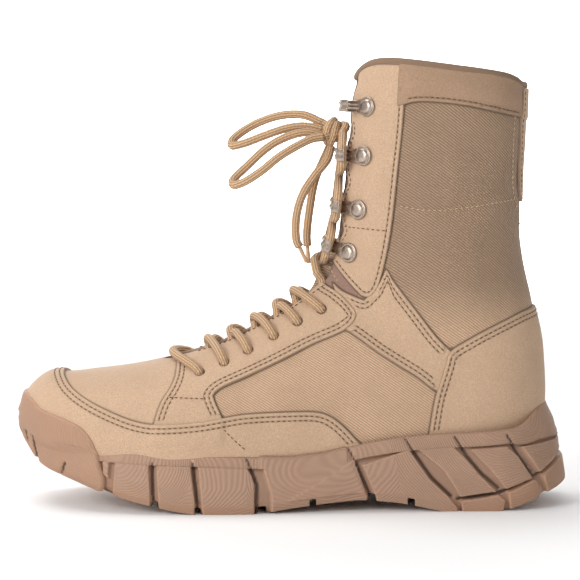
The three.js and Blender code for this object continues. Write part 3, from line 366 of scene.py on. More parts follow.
KNOT_STRANDS = [
    [(-3.4, 0.0, 0.4), (-1.0, -0.6, 0.6), (1.5, -0.4, 0.2), (3.6, 0.2, 0.4)],
    [(-2.0, -1.8, 2.8), (0.5, -2.4, 2.0), (2.6, -2.4, 0.0), (3.2, -1.8, -2.0)],
    [(-1.5, -1.6, -2.6), (0.5, -2.6, -2.8), (2.2, -2.2, -2.4)],
    [(2.4, -2.0, -3.6), (4.6, -5.0, -1.6), (6.6, -6.2, 0.6), (8.0, -4.8, 2.6), (7.6, -1.6, 3.8), (5.4, 1.0, 3.6),
     (2.8, 1.8, 2.0)],
    [(2.4, 2.0, -3.2), (5.0, 5.0, -1.6), (6.6, 5.6, 0.4), (6.4, 3.6, 2.2), (3.6, 1.6, 2.6)],
]
LOOP_UPPER = [
    [-4.6, 5.2, 4.9], [-15, 9, 9.3], [-27, 13, 9.3], [-39, 16, 5.8], [-49, 15.5, 0.5], [-55.5, 11.5, -5],
    [-55.2, 6.5, -7.8], [-49, 3.5, -6.5], [-37, 2.2, -2], [-25, 1.8, 2], [-15, 1.8, 3.2], [-5, 1.4, 1.3],
]
LOOP_LOWER = [
    [-4.9, -2.4, -2.3], [-14, -3.2, -0.2], [-26, -4, -3.2], [-36, -4.5, -9], [-47, -5.5, -19],
    [-54.5, -8.5, -26.5], [-54, -13.5, -29.2], [-48, -17, -27.2], [-39, -17.5, -21.5], [-29, -15.5, -13.5],
    [-18, -12, -7], [-10.5, -9.4, -3.6], [-4.6, -7.6, -2.8],
]
END_LONG = [
    [-0.2, -3.4, -8.3], [-2.5, -7.5, -15.5], [-9, -9, -23.5], [-16, -9, -34.5], [-19.6, -9, -47.5],
    [-19.4, -8.5, -60], [-17.8, -8, -63.5],
]
END_SHORT = [
    [-1, 2.8, -8.3], [-4.5, 6.5, -16], [-9, 7, -27], [-12, 7, -43], [-13.6, 7, -58], [-13.2, 7, -64],
]
AGLET_LENGTH = 9.5


# ---------------------------------------------------------------------------
# Distances over a surface
# ---------------------------------------------------------------------------

def drawn_outline(shares, steps=6):
    """A side-view outline with smooth runs between its real corners."""
    p = side_points(shares)
    before, after = np.roll(p, 1, axis=0), np.roll(p, -1, axis=0)
    into, out = unit(p - before), unit(after - p)
    sharp = (into * out).sum(1) < math.cos(math.radians(40))
    way = unit(after - before)
    dense = []
    for i in range(len(p)):
        j = (i + 1) % len(p)
        chord = p[j] - p[i]
        size = np.linalg.norm(chord)
        a = (out[i] if sharp[i] else way[i]) * size
        b = (out[i] if sharp[j] else way[j]) * size
        for t in np.arange(steps) / steps:
            dense.append((2 * t**3 - 3 * t**2 + 1) * p[i] + (t**3 - 2 * t**2 + t) * a
                         + (3 * t**2 - 2 * t**3) * p[j] + (t**3 - t**2) * b)
    return np.array(dense)


def segment_distance(x, z, a, b):
    """Distance of points from a straight stretch of a side-view line."""
    d = b - a
    t = np.clip(((x - a[0]) * d[0] + (z - a[1]) * d[1]) / max(d @ d, 1e-9), 0, 1)
    return np.hypot(x - a[0] - t * d[0], z - a[1] - t * d[1])


def inside_distance(x, z, outline):
    """How far points lie inside an outline; negative outside."""
    best = np.full(x.shape, 1e9)
    inside = np.zeros(x.shape, bool)
    for a, b in zip(outline, np.roll(outline, -1, axis=0)):
        best = np.minimum(best, segment_distance(x, z, a, b))
        if a[1] != b[1]:
            hit = (a[1] > z) != (b[1] > z)
            inside ^= hit & (x < a[0] + (z - a[1]) * (b[0] - a[0]) / (b[1] - a[1]))
    return np.where(inside, best, -best)


def over_surface(points, measure):
    """A measure turned into a distance along the surface, near its zero line."""
    pu, pv = np.gradient(points, axis=0), np.gradient(points, axis=1)
    fu, fv = np.gradient(measure, axis=0), np.gradient(measure, axis=1)
    e, f, g = (pu * pu).sum(-1), (pu * pv).sum(-1), (pv * pv).sum(-1)
    slope = (g * fu**2 - 2 * f * fu * fv + e * fv**2) / np.maximum(e * g - f * f, 1e-9)
    return measure / np.sqrt(np.clip(slope, 0.08, 1.6))


def ramp(value, low, high):
    """A smooth step from 0 to 1."""
    t = np.clip((value - low) / (high - low), 0, 1)
    return t * t * (3 - 2 * t)


def throat_half(u):
    """Half the width of the throat."""
    opening = np.minimum(1, np.sqrt(np.maximum(u - THROAT_START + 0.08, 0) / 0.5))
    return opening * (THROAT_FRONT + np.clip((u - 5) / 7, 0, 1) * (THROAT_SHAFT - THROAT_FRONT))


NET_PITCH = 2.0
NET_COLUMNS = 181
FINE_STEPS = 1500
FAR = 30.0  # a distance that no cut reaches


class LastGrid:
    """An even net of points over the last, with the distances that panels are cut by."""

    def __init__(self, first, final, columns=NET_COLUMNS):
        fine = np.linspace(0, LAST_END, FINE_STEPS)
        steps = [np.linalg.norm(np.diff(last_point(fine, v), axis=0), axis=1) for v in (0.0, 0.2, 0.3, 0.4, 0.5)]
        length = np.concatenate([[0], np.cumsum(np.max(steps, axis=0))])
        rows = int(length[-1] / NET_PITCH)
        self.u = np.interp(np.linspace(0, length[-1], rows), length, fine)
        self.v = np.linspace(first, final, columns)
        u, v = np.meshgrid(self.u, self.v, indexing="ij")
        self.points = last_point(u, v)
        self.normals = last_normal(u, v)
        self.uu, self.vv = u, v
        self.x, self.y, self.z = (self.points[..., k] for k in range(3))
        self.saved = {}

    def outline(self, name, shares):
        """Distance inside a side-view outline."""
        if name not in self.saved:
            raw = inside_distance(self.x, self.z, drawn_outline(shares))
            self.saved[name] = over_surface(self.points, raw)
        return self.saved[name]

    def throat(self):
        """Distance from the throat's edge."""
        if "throat" not in self.saved:
            side = np.abs(self.y - last_rows(self.uu)[..., CENTRE])
            raw = np.where(self.uu > THROAT_START - 0.6, side - throat_half(self.uu), 20.0)
            ridge = np.cos(2 * np.pi * self.vv) > 0
            start = (THROAT_START - 0.08 - self.uu) * 20
            raw = np.maximum(raw, np.where(self.uu < THROAT_START + 0.3, start, -99))
            self.saved["throat"] = np.where(ridge, raw, FAR)
        return self.saved["throat"]

    def below_collar(self):
        """Distance below the top line."""
        return -self.outline("collar", COLLAR_LINE)

    def above_rim(self):
        """Distance above the sole's rim."""
        if "rim" not in self.saved:
            self.saved["rim"] = self.z - rim_at(self.x)
        return self.saved["rim"]


def net_normals(points):
    """Normals of a net that closes on itself round the boot."""
    pu, pv = np.gradient(points, axis=0), np.gradient(points, axis=1)
    pv[:, 0] = pv[:, -1] = points[:, 1] - points[:, -2]
    return unit(np.cross(pv, pu))


def levelled(normals, share):
    """Normals turned towards the level, by the share of their height that they keep."""
    return unit(normals * (1, 1, share))


def contour(measure, level):
    """Lines along a level of a measure on a net, in fractional rows and columns."""
    m = measure - level
    m = np.where(m == 0, 1e-6, m)
    crossings = {}
    rows, columns = m.shape

    def edge_point(a, b):
        fa, fb = m[a], m[b]
        t = fa / (fa - fb)
        return (a[0] + t * (b[0] - a[0]), a[1] + t * (b[1] - a[1]))

    sign = m > 0
    mixed = (sign[:-1, :-1] != sign[1:, :-1]) | (sign[:-1, :-1] != sign[:-1, 1:]) | (sign[:-1, :-1] != sign[1:, 1:])
    links = {}
    for i, j in zip(*np.nonzero(mixed)):
        i, j = int(i), int(j)
        corners = [(i, j), (i, j + 1), (i + 1, j + 1), (i + 1, j)]
        cut = []
        for a, b in zip(corners, corners[1:] + corners[:1]):
            if sign[a] != sign[b]:
                key = (min(a, b), max(a, b))
                crossings.setdefault(key, edge_point(*key))
                cut.append(key)
        for a, b in zip(cut[::2], cut[1::2]):
            links.setdefault(a, []).append(b)
            links.setdefault(b, []).append(a)
    lines, used = [], set()
    starts = [k for k, near in links.items() if len(near) == 1] + list(links)
    for start in starts:
        if start in used:
            continue
        line, here = [start], start
        used.add(start)
        while True:
            onward = [k for k in links[here] if k not in used]
            if not onward:
                break
            here = onward[0]
            used.add(here)
            line.append(here)
        if len(line) > 2:
            closes = len(links[start]) == 2 and start in links[line[-1]]
            if closes and len(line) > 3:
                line.append(start)
            lines.append(np.array([crossings[k] for k in line]))
    return lines


def sampled(values, places):
    """Values of a net at fractional rows and columns."""
    r = np.clip(places[:, 0], 0, values.shape[0] - 1.001)
    c = np.clip(places[:, 1], 0, values.shape[1] - 1.001)
    i, j = r.astype(int), c.astype(int)
    a, b = r - i, c - j
    if values.ndim > 2:
        a, b = a[:, None], b[:, None]
    return ((1 - a) * (1 - b) * values[i, j] + a * (1 - b) * values[i + 1, j]
            + (1 - a) * b * values[i, j + 1] + a * b * values[i + 1, j + 1])


def evened(points, pitch, *others):
    """A line's points set at an even pitch, with what goes with them."""
    length = np.concatenate([[0], np.cumsum(np.linalg.norm(np.diff(points, axis=0), axis=1))])
    count = max(2, int(round(length[-1] / pitch)) + 1)
    at = np.linspace(0, length[-1], count)
    return [np.stack([np.interp(at, length, a[:, k]) for k in range(a.shape[1])], axis=1) for a in (points, *others)]


# ---------------------------------------------------------------------------
# Sheets: nets turned into meshes, scored and cut along their distances
# ---------------------------------------------------------------------------

class Sheet:
    """A piece cut from a net of points."""

    def __init__(self, points, normals, edge, **layers):
        rows, columns = points.shape[:2]
        self.bm = bmesh.new()
        bmesh.ops.create_grid(self.bm, x_segments=columns - 1, y_segments=rows - 1, size=1)
        given = {"edge": edge, **layers}
        # A new layer moves the others, so all are made before any is fetched.
        kinds = self.bm.verts.layers
        kinds.float_vector.new("out")
        for name in given:
            kinds.float.new(name)
        self.out = kinds.float_vector["out"]
        self.layers = {name: kinds.float[name] for name in given}
        measures = [np.asarray(measure, float).reshape(-1).tolist() for measure in given.values()]
        for vert, p, n, *values in zip(self.bm.verts, points.reshape(-1, 3).tolist(),
                                       normals.reshape(-1, 3).tolist(), *measures):
            vert.co = p
            vert[self.out] = n
            for key, value in zip(self.layers.values(), values):
                vert[key] = value

    def weld(self):
        """Joins edges of the net that meet."""
        bmesh.ops.remove_doubles(self.bm, verts=self.bm.verts, dist=0.01)

    def score(self, level, name="edge", snap=0.06):
        """Adds edges along one level of a measure, and snaps points that are near it."""
        key = self.layers[name]
        fresh = []
        for vert in self.bm.verts:
            if abs(vert[key] - level) < snap:
                vert[key] = level
                fresh.append(vert)
        for edge in list(self.bm.edges):
            a, b = edge.verts
            da, db = a[key] - level, b[key] - level
            if da * db < 0:
                _, vert = bmesh.utils.edge_split(edge, a, da / (da - db))
                vert[key] = level
                fresh.append(vert)
        bmesh.ops.connect_verts(self.bm, verts=fresh)

    def trim(self, level=0.0, name="edge"):
        """Scores a level and removes what lies below it."""
        self.score(level, name)
        key = self.layers[name]
        doomed = [f for f in self.bm.faces if min(v[key] for v in f.verts) < level - 1e-5]
        bmesh.ops.delete(self.bm, geom=doomed, context="FACES")

    def raise_by(self, height):
        """Moves each point out along its normal by a height."""
        for vert in self.bm.verts:
            vert.co = vert.co + vert[self.out] * height(vert)


def finished(name, bm, materials, slot, smooth=True, scale=MM):
    """An object from a bmesh in millimetres, riding on the boot."""
    bmesh.ops.scale(bm, vec=(scale, scale, scale), verts=bm.verts)
    for face in bm.faces:
        face.smooth = smooth
    mesh = bpy.data.meshes.new(name)
    bm.to_mesh(mesh)
    bm.free()
    for material in materials:
        mesh.materials.append(material)
    piece = bpy.data.objects.new(name, mesh)
    bpy.context.scene.collection.objects.link(piece)
    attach(piece, "root")
    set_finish(piece, slot)
    return piece


def add_wall(piece, name, thickness, inside, rim):
    """Gives a sheet its thickness, inwards, and the materials of its inside and rim by their offsets."""
    wall = piece.modifiers.new(name, "SOLIDIFY")
    wall.thickness, wall.offset = thickness * MM, -1.0
    wall.material_offset, wall.material_offset_rim = inside, rim


def placed(along, across, out, at):
    """A matrix that sets a shape on three axes at a place."""
    return Matrix([(along[k], across[k], out[k], at[k]) for k in range(3)] + [(0, 0, 0, 1)])


def wavy(points, size, reach, seed):
    """Soft unevenness of a net, in millimetres."""
    flat = points.reshape(-1, 3)
    values = [noise.noise(Vector((p[0] / reach + seed, p[1] / reach, p[2] / reach))) for p in flat]
    return np.array(values).reshape(points.shape[:2]) * size


# Distances from a cut edge of leather at which its skived profile is scored.
EDGE_LEVELS = (0.0, 0.12, 0.5, 1.1)
ONE_ROW, TWO_ROWS = (2.4,), (2.4, 4.8)  # stitch rows by their distance from a panel's edge


def edge_height(distance, thickness, foot=-0.35):
    """Height of a cut leather edge at a distance from it."""
    return float(np.interp(distance, EDGE_LEVELS, (foot, thickness * 0.72, thickness * 0.96, thickness)))


def box_of(measure, margin=5.0):
    """The rows and columns of a net where a measure is near or above zero."""
    rows, columns = np.nonzero(measure > -margin)
    return (slice(max(rows.min() - 1, 0), rows.max() + 2), slice(max(columns.min() - 1, 0), columns.max() + 2))


# ---------------------------------------------------------------------------
# Finishes
# ---------------------------------------------------------------------------

class Wire:
    """A shader value that takes part in sums."""

    def __init__(self, tree, socket):
        self.tree, self.socket = tree, socket

    def math(self, operation, *others, clamp=False):
        """A Math node over this value and others."""
        node = self.tree.nodes.new("ShaderNodeMath")
        node.operation, node.use_clamp = operation, clamp
        for slot, value in zip(node.inputs, (self, *others)):
            plug(self.tree, slot, value)
        return Wire(self.tree, node.outputs[0])

    def __add__(self, other):
        return self.math("ADD", other)

    __radd__ = __add__

    def __sub__(self, other):
        return self.math("SUBTRACT", other)

    def __rsub__(self, other):
        return (self * -1) + other

    def __mul__(self, other):
        return self.math("MULTIPLY", other)

    __rmul__ = __mul__

    def __truediv__(self, other):
        return self.math("DIVIDE", other)

    def between(self, low, high):
        """0 below low, 1 above high, smooth between."""
        node = self.tree.nodes.new("ShaderNodeMapRange")
        node.interpolation_type = "SMOOTHSTEP"
        plug(self.tree, node.inputs["Value"], self)
        node.inputs["From Min"].default_value, node.inputs["From Max"].default_value = low, high
        return Wire(self.tree, node.outputs["Result"])

    def near(self, centre, reach):
        """1 at a value, falling to 0 at a reach from it."""
        return 1 - (self - centre).math("ABSOLUTE").between(0.0, reach)


def plug(tree, slot, value):
    """Links a wire to a socket, or sets the socket."""
    if isinstance(value, Wire):
        tree.links.new(value.socket, slot)
    else:
        slot.default_value = value


class Finish:
    """A material and the nodes that it is made of."""

    def __init__(self, name, roughness=0.8, metallic=0.0, **constants):
        self.material = bpy.data.materials.new(name)
        self.material.use_nodes = True
        self.tree = self.material.node_tree
        self.shader = self.tree.nodes["Principled BSDF"]
        self.shader.inputs["Roughness"].default_value = roughness
        self.shader.inputs["Metallic"].default_value = metallic
        for key, value in constants.items():
            self.shader.inputs[key.replace("_", " ")].default_value = value
        self.place = Wire(self.tree, self.tree.nodes.new("ShaderNodeTexCoord").outputs["Object"])

    def node(self, kind, output=0, settings=(), **inputs):
        """Any other node, with its inputs by name."""
        node = self.tree.nodes.new("ShaderNode" + kind)
        for key, value in dict(settings).items():
            setattr(node, key, value)
        for key, value in inputs.items():
            plug(self.tree, node.inputs[key.replace("_", " ")], value)
        return Wire(self.tree, node.outputs[output])

    def grain(self, size, detail=2.0, roughness=0.5):
        """Noise whose features are about a size in millimetres."""
        return self.node("TexNoise", "Fac", Vector=self.place, Scale=1 / (size * MM), Detail=detail,
                         Roughness=roughness)

    def axes(self):
        """Object coordinates in millimetres."""
        split = self.tree.nodes.new("ShaderNodeSeparateXYZ")
        self.tree.links.new(self.place.socket, split.inputs[0])
        return [Wire(self.tree, s) * (1 / MM) for s in split.outputs]

    def attribute(self, name):
        """A measure kept on the mesh."""
        node = self.tree.nodes.new("ShaderNodeAttribute")
        node.attribute_name = name
        return Wire(self.tree, node.outputs["Fac"])

    def blend(self, amount, first, second):
        """One colour mixed over another."""
        node = self.tree.nodes.new("ShaderNodeMix")
        node.data_type = "RGBA"
        plug(self.tree, node.inputs[0], amount)
        plug(self.tree, node.inputs[6], first)
        plug(self.tree, node.inputs[7], second)
        return Wire(self.tree, node.outputs[2])

    def panel_edge_shadow(self, shade, colour):
        """Paints shade where the edge of a panel lies on it, as the panel's shadow; 5 at the edge, less by its
        distance.
        """
        return self.blend(self.attribute("panel_edge_shadow").between(3.6, 5.0) * 0.85, shade, tone(colour, 0.3))

    def colour(self, value):
        """Sets the base colour."""
        plug(self.tree, self.shader.inputs["Base Color"], value)
        return self

    def rough(self, value):
        """Sets the roughness."""
        plug(self.tree, self.shader.inputs["Roughness"], value)
        return self

    def relief(self, height, depth):
        """Bumps of a depth in millimetres."""
        node = self.tree.nodes.new("ShaderNodeBump")
        node.inputs["Strength"].default_value = 1.0
        node.inputs["Distance"].default_value = depth * MM
        plug(self.tree, node.inputs["Height"], height)
        self.tree.links.new(node.outputs["Normal"], self.shader.inputs["Normal"])
        return self.material


def tone(colour, by=1.0):
    """A colour made lighter or darker, with alpha."""
    return tuple(min(1.0, c * by) for c in colour[:3]) + (1.0,)


FINISHES = {}


def leather(name, colour, rows=ONE_ROW):
    """Brushed leather: fine speckle, soft cloudy tone, painted shade along cut edges and a dent under each stitch
    row, with painted shade in it.
    """
    f = Finish(name, roughness=0.9, Specular_IOR_Level=0.25, Sheen_Weight=0.12, Sheen_Roughness=0.5)
    speckle, cloud, pores = f.grain(0.7, 3, 0.7), f.grain(16, 3), f.grain(0.35, 2)
    edge = f.attribute("edge")
    shade = f.blend(speckle.between(0.3, 0.72), tone(colour, 0.8), tone(colour, 1.12))
    shade = f.blend(cloud.between(0.35, 0.7) * 0.35, shade, tone(colour, 0.84))
    # Painted shade: darker along the cut edge, as the leather's thickness shades it.
    shade = f.blend((1 - edge.between(0.1, 0.9)) * 0.75, shade, tone(colour, 0.5))
    dent = None
    seam = f.attribute("seam") if rows else None
    for at in rows:
        groove = seam.near(at, 0.75)
        dent = groove if dent is None else dent.math("MAXIMUM", groove)
    height = speckle * 0.5 + pores * 0.35
    if dent is not None:
        # Painted shade in the dent along each stitch row.
        shade = f.blend(dent * 0.3, shade, tone(colour, 0.5))
        height = height - dent * 1.6
    f.colour(f.panel_edge_shadow(shade, colour)).rough(speckle.between(0.2, 0.8) * 0.12 + 0.82)
    return f.relief(height, 0.22)


SHAFT_SHADE_HEIGHTS = (92.0, 128.0)  # heights over which the quarters' painted light turns into the shaft's painted shade


def turns(length):
    """Radians a millimetre for a wave of a length in millimetres."""
    return 2 * math.pi / length


def twill(name, colour):
    """Cotton twill: fine diagonal ridges, with painted light on the quarters and painted shade up the shaft."""
    f = Finish(name, roughness=0.88, Specular_IOR_Level=0.25, Sheen_Weight=0.15, Sheen_Roughness=0.5)
    x, y, z = f.axes()
    line = ((x * 0.57 + y * 0.35 + z * 0.82) * turns(1.3)).math("SINE")
    yarn = ((x * 0.82 - z * 0.57) * turns(0.8)).math("SINE")
    fleck, cloud = f.grain(0.9, 2, 0.6), f.grain(20, 3)
    weave = line * 0.5 + 0.5
    # Painted light and shade: the quarters are painted paler and the shaft darker, by height.
    shaft = z.between(*SHAFT_SHADE_HEIGHTS)
    dark, pale = (f.blend(shaft, tone(colour, low), tone(colour, high)) for low, high in ((0.86, 0.52), (1.62, 1.0)))
    shade = f.blend(weave, dark, pale)
    shade = f.blend(fleck.between(0.35, 0.7) * 0.35, shade, dark)
    shade = f.blend(cloud.between(0.4, 0.7) * 0.25, shade, dark)
    f.colour(f.panel_edge_shadow(shade, colour))
    return f.relief(weave + yarn * 0.12, 0.28)


RIB_CELL, RIB_PITCH = 110.0, 1.15  # the ribs ring centres that are about a cell apart


def rubber(name, colour, ribs=1.0):
    """Moulded rubber with fine contour ribs, painted highlights along rounded edges, and painted shade along the
    ribs, on the sunk wall, in the grooves and in the slits.
    """
    f = Finish(name, roughness=0.7, Specular_IOR_Level=0.35)
    edge = f.attribute("edge")
    centre_gap = f.node("TexVoronoi", "Distance", {"feature": "F1"}, Vector=f.place,
                        Scale=1 / (RIB_CELL * MM)) * RIB_CELL
    wave = ((centre_gap + f.grain(26, 0) * 9.0) * turns(RIB_PITCH)).math("SINE")
    on_face = edge.between(0.7, 1.5) * ribs
    speckle, cloud = f.grain(0.8, 2), f.grain(14, 3)
    # Painted shade: the ribs are painted in darker and paler stripes.
    shade = f.blend((wave * 0.5 + 0.5) * on_face * 0.24, tone(colour), tone(colour, 0.5))
    shade = f.blend(speckle.between(0.35, 0.7) * 0.3, shade, tone(colour, 0.86))
    shade = f.blend(cloud.between(0.35, 0.75) * 0.3, shade, tone(colour, 1.12))
    # Painted highlight along the rounded edges of blocks and bumper.
    shade = f.blend(edge.near(0.4, 0.45) * 0.4, shade, tone(colour, 1.3))
    # Painted shade where the wall sinks between blocks and in the tread's grooves.
    shade = f.blend(1 - edge.between(-1.0, 0.1), shade, tone(colour, 0.8))
    # Painted shade in the slits.
    shade = f.blend(1 - f.attribute("slit").between(0.55, 0.95), shade, tone(colour, 0.28))
    f.colour(shade).rough(cloud.between(0.3, 0.7) * 0.15 + 0.6)
    return f.relief(wave * on_face * 0.5 + speckle * 0.2, 0.2)


def plain_weave(name, colour, pitch=1.4):
    """Knitted lining."""
    f = Finish(name, roughness=0.95, Specular_IOR_Level=0.15)
    x, y, z = f.axes()
    across = ((x + y) * turns(pitch)).math("SINE")
    up = (z * turns(pitch) + (x + y) * 0.6).math("SINE")
    knit = across * up * 0.5 + 0.5
    cloud = f.grain(12, 3)
    shade = f.blend(knit, tone(colour, 0.72), tone(colour, 1.1))
    f.colour(f.blend(cloud.between(0.35, 0.7) * 0.3, shade, tone(colour, 0.8)))
    return f.relief(knit, 0.3)


LACE_RIBS = 10


def braid(name, colour):
    """Round braided lace: ribs along it, each of slanting stitches, with painted shade between the ribs."""
    f = Finish(name, roughness=0.85, Specular_IOR_Level=0.25, Sheen_Weight=0.1, Sheen_Roughness=0.5)
    split = f.tree.nodes.new("ShaderNodeSeparateXYZ")
    f.tree.links.new(f.tree.nodes.new("ShaderNodeUVMap").outputs[0], split.inputs[0])
    along, around = Wire(f.tree, split.outputs[0]) * (1 / MM), Wire(f.tree, split.outputs[1])
    ribs = (around * (math.pi * LACE_RIBS)).math("SINE")
    rib = ribs.math("ABSOLUTE")
    slant = (ribs.math("SIGN") * around * 60 + along * 3.0).math("SINE")
    speckle = f.grain(0.5, 2)
    # Painted shade in the grooves between the ribs.
    shade = f.blend(rib.between(0.05, 0.75), tone(colour, 0.34), tone(colour, 1.15))
    shade = f.blend((slant * 0.5 + 0.5) * 0.35, shade, tone(colour, 0.62))
    f.colour(f.blend(speckle.between(0.4, 0.7) * 0.25, shade, tone(colour, 0.8)))
    return f.relief(rib * 0.8 + slant * 0.25, 0.35)


def thread(name, colour):
    """Waxed sewing thread."""
    f = Finish(name, roughness=0.7, Specular_IOR_Level=0.3)
    fleck = f.grain(0.4, 2)
    f.colour(f.blend(fleck.between(0.3, 0.7), tone(colour, 0.75), tone(colour, 1.15)))
    return f.relief(fleck, 0.08)


def plated(name, colour):
    """Satin nickel plate, a little worn."""
    f = Finish(name, roughness=0.34, metallic=1.0)
    scuff, cloud = f.grain(0.6, 3), f.grain(4, 2)
    f.colour(f.blend(cloud.between(0.35, 0.7) * 0.5, tone(colour), tone(colour, 0.82)))
    f.rough(scuff.between(0.3, 0.75) * 0.2 + 0.26)
    return f.relief(scuff, 0.04)


def smooth_plastic(name, colour):
    """Glossy film of the lace's tip."""
    f = Finish(name, roughness=0.3)
    cloud = f.grain(3, 2)
    f.colour(f.blend(cloud.between(0.3, 0.7) * 0.4, tone(colour), tone(colour, 0.8)))
    return f.relief(cloud, 0.05)


def matt_paper(name, colour):
    """The studio floor."""
    f = Finish(name, roughness=0.9, Specular_IOR_Level=0.1)
    cloud = f.grain(400, 2)
    f.colour(f.blend(cloud.between(0.3, 0.7) * 0.1, tone(colour), tone(colour, 0.97)))
    return f.relief(cloud, 0.01)


# ---------------------------------------------------------------------------
# Settings
# ---------------------------------------------------------------------------

def colour_setting(name, description, default):
    """A colour that a user may change."""
    return bpy.props.FloatVectorProperty(
        name=name, description=description, default=default, subtype="COLOR", size=3, min=0.0, max=1.0)


class BOOT_PG_colours(bpy.types.PropertyGroup):
    """Colours of the boot's finishes"""

    leather: colour_setting("Leather", "Toe guard, eyestays, straps and counter", (0.55, 0.375, 0.25))
    band: colour_setting("Collar leather", "Band and binding under the top line", (0.385, 0.25, 0.162))
    twill: colour_setting("Twill", "Fabric of the quarters and shaft", (0.46, 0.305, 0.2))
    midsole: colour_setting("Midsole", "Side walls and blocks of the sole", (0.385, 0.238, 0.162))
    tread: colour_setting("Tread", "Cleats, toe bumper and heel", (0.39, 0.23, 0.15))
    lace: colour_setting("Lace", "Braided lace", (0.56, 0.36, 0.21))
    metal: colour_setting("Hooks", "Plated hooks and rivets", (0.47, 0.385, 0.32))
    lining: colour_setting("Lining", "Inside of the boot", (0.36, 0.24, 0.14))
    under: colour_setting("Under-layer", "Layer that shows at the throat's edge", (0.47, 0.305, 0.21))
    gusset: colour_setting("Gusset", "Smooth strip under the lace at the ankle", (0.3, 0.185, 0.14))
    dark_thread: colour_setting("Dark thread", "Stitching on the leather", (0.16, 0.085, 0.04))
    light_thread: colour_setting("Light thread", "Stitching on the fabric", (0.62, 0.44, 0.27))
    floor: colour_setting("Floor", "Studio floor and backdrop", (0.93, 0.93, 0.93))


class BOOT_PG_sizes(bpy.types.PropertyGroup):
    """Sizes of the boot's details"""

    stitch: bpy.props.FloatProperty(
        name="Stitch", description="Length of one stitch", default=2.1 * MM, unit="LENGTH", min=0.0005)
    stitch_pitch: bpy.props.FloatProperty(
        name="Stitch pitch", description="From one stitch to the next", default=3.0 * MM, unit="LENGTH", min=0.001)
    thread: bpy.props.FloatProperty(
        name="Thread", description="Thickness of the thread", default=0.62 * MM, unit="LENGTH", min=0.0001)
    block: bpy.props.FloatProperty(
        name="Side blocks", description="How far the sole's side blocks stand out", default=BLOCK_STAND * MM,
        unit="LENGTH", min=0.0)
    lace: bpy.props.FloatProperty(
        name="Lace", description="Diameter of the lace", default=LACE * MM, unit="LENGTH", min=0.001)


def colours():
    """The colour settings."""
    return bpy.context.scene.boot_colours


def sizes():
    """The size settings."""
    return bpy.context.scene.boot_sizes


def mix_finishes():
    """Makes each finish once."""
    if FINISHES:
        return
    c = colours()
    FINISHES.update(
        leather=leather("nubuck", c.leather),
        strap=leather("nubuck_strap", c.leather, rows=TWO_ROWS),
        band=leather("collar_leather", c.band),
        twill=twill("twill", c.twill),
        midsole=rubber("midsole_rubber", c.midsole),
        tread=rubber("tread_rubber", c.tread, ribs=0.8),
        lining=plain_weave("knit_lining", c.lining),
        under=leather("under_layer", c.under, rows=()),
        satin=leather("satin_gusset", c.gusset, rows=()),
        lace=braid("braided_lace", c.lace),
        tip=smooth_plastic("lace_tip", c.lace),
        metal=plated("satin_nickel", c.metal),
        dark_thread=thread("dark_thread", c.dark_thread),
        light_thread=thread("light_thread", c.light_thread),
        floor=matt_paper("studio_paper", c.floor),
    )


# ---------------------------------------------------------------------------
# Lace
# ---------------------------------------------------------------------------

def curve_through(points, pitch=1.2):
    """A smooth line through points, at an even pitch."""
    p = np.array(points, float)
    ends = np.concatenate([[2 * p[0] - p[1]], p, [2 * p[-1] - p[-2]]])
    gaps = np.sqrt(np.maximum(np.linalg.norm(np.diff(ends, axis=0), axis=1), 1e-6))
    knots = np.concatenate([[0], np.cumsum(gaps)])
    out = []
    for i in range(1, len(ends) - 2):
        a, b, c, d = ends[i - 1:i + 3]
        t0, t1, t2, t3 = knots[i - 1:i + 3]
        for t in np.linspace(t1, t2, 16, endpoint=False):
            a1 = (t1 - t) / (t1 - t0) * a + (t - t0) / (t1 - t0) * b
            a2 = (t2 - t) / (t2 - t1) * b + (t - t1) / (t2 - t1) * c
            a3 = (t3 - t) / (t3 - t2) * c + (t - t2) / (t3 - t2) * d
            b1 = (t2 - t) / (t2 - t0) * a1 + (t - t0) / (t2 - t0) * a2
            b2 = (t3 - t) / (t3 - t1) * a2 + (t - t1) / (t3 - t1) * a3
            out.append((t2 - t) / (t2 - t1) * b1 + (t - t1) / (t2 - t1) * b2)
    out.append(ends[-2])
    return evened(np.array(out), pitch)[0]


def rolled_tube(bm, path, radius, sides=14, closed=False, turn=(1, 0, 0.2)):
    """Rolls a grid into a tube along a path, with its length and turn as UV."""
    p = np.array(path, float)
    n = len(p)
    way = np.gradient(p, axis=0)
    if closed:
        way[0] = way[-1] = p[1] - p[-2]
    way = unit(way)
    across = np.zeros_like(p)
    side = np.array(turn, float)
    for i in range(n):
        side = side - way[i] * (side @ way[i])
        side /= np.linalg.norm(side)
        across[i] = side
    beside = np.cross(way, across)
    length = np.concatenate([[0], np.cumsum(np.linalg.norm(np.diff(p, axis=0), axis=1))])
    made = bmesh.ops.create_grid(bm, x_segments=sides, y_segments=n - 1, size=1)["verts"]
    uv = bm.loops.layers.uv.verify()
    radii = np.broadcast_to(np.asarray(radius, float), (n,))
    places = {}
    for k, vert in enumerate(made):
        i, j = divmod(k, sides + 1)
        angle = -2 * math.pi * j / sides
        vert.co = (p[i] + across[i] * math.cos(angle) * radii[i] + beside[i] * math.sin(angle) * radii[i]).tolist()
        places[vert] = (length[i] * MM, j / sides)
    faces = {f for v in made for f in v.link_faces}
    for face in faces:
        for loop in face.loops:
            loop[uv].uv = places[loop.vert]
    bmesh.ops.remove_doubles(bm, verts=made, dist=1e-4)
    if not closed:
        bmesh.ops.holes_fill(bm, edges=[e for e in bm.edges if e.is_boundary], sides=sides + 2)


def tube_object(name, path, radius, material, slot, **extra):
    """A tube as an object."""
    bm = bmesh.new()
    rolled_tube(bm, path, radius, **extra)
    bmesh.ops.recalc_face_normals(bm, faces=bm.faces)
    return finished(name, bm, [material], slot)


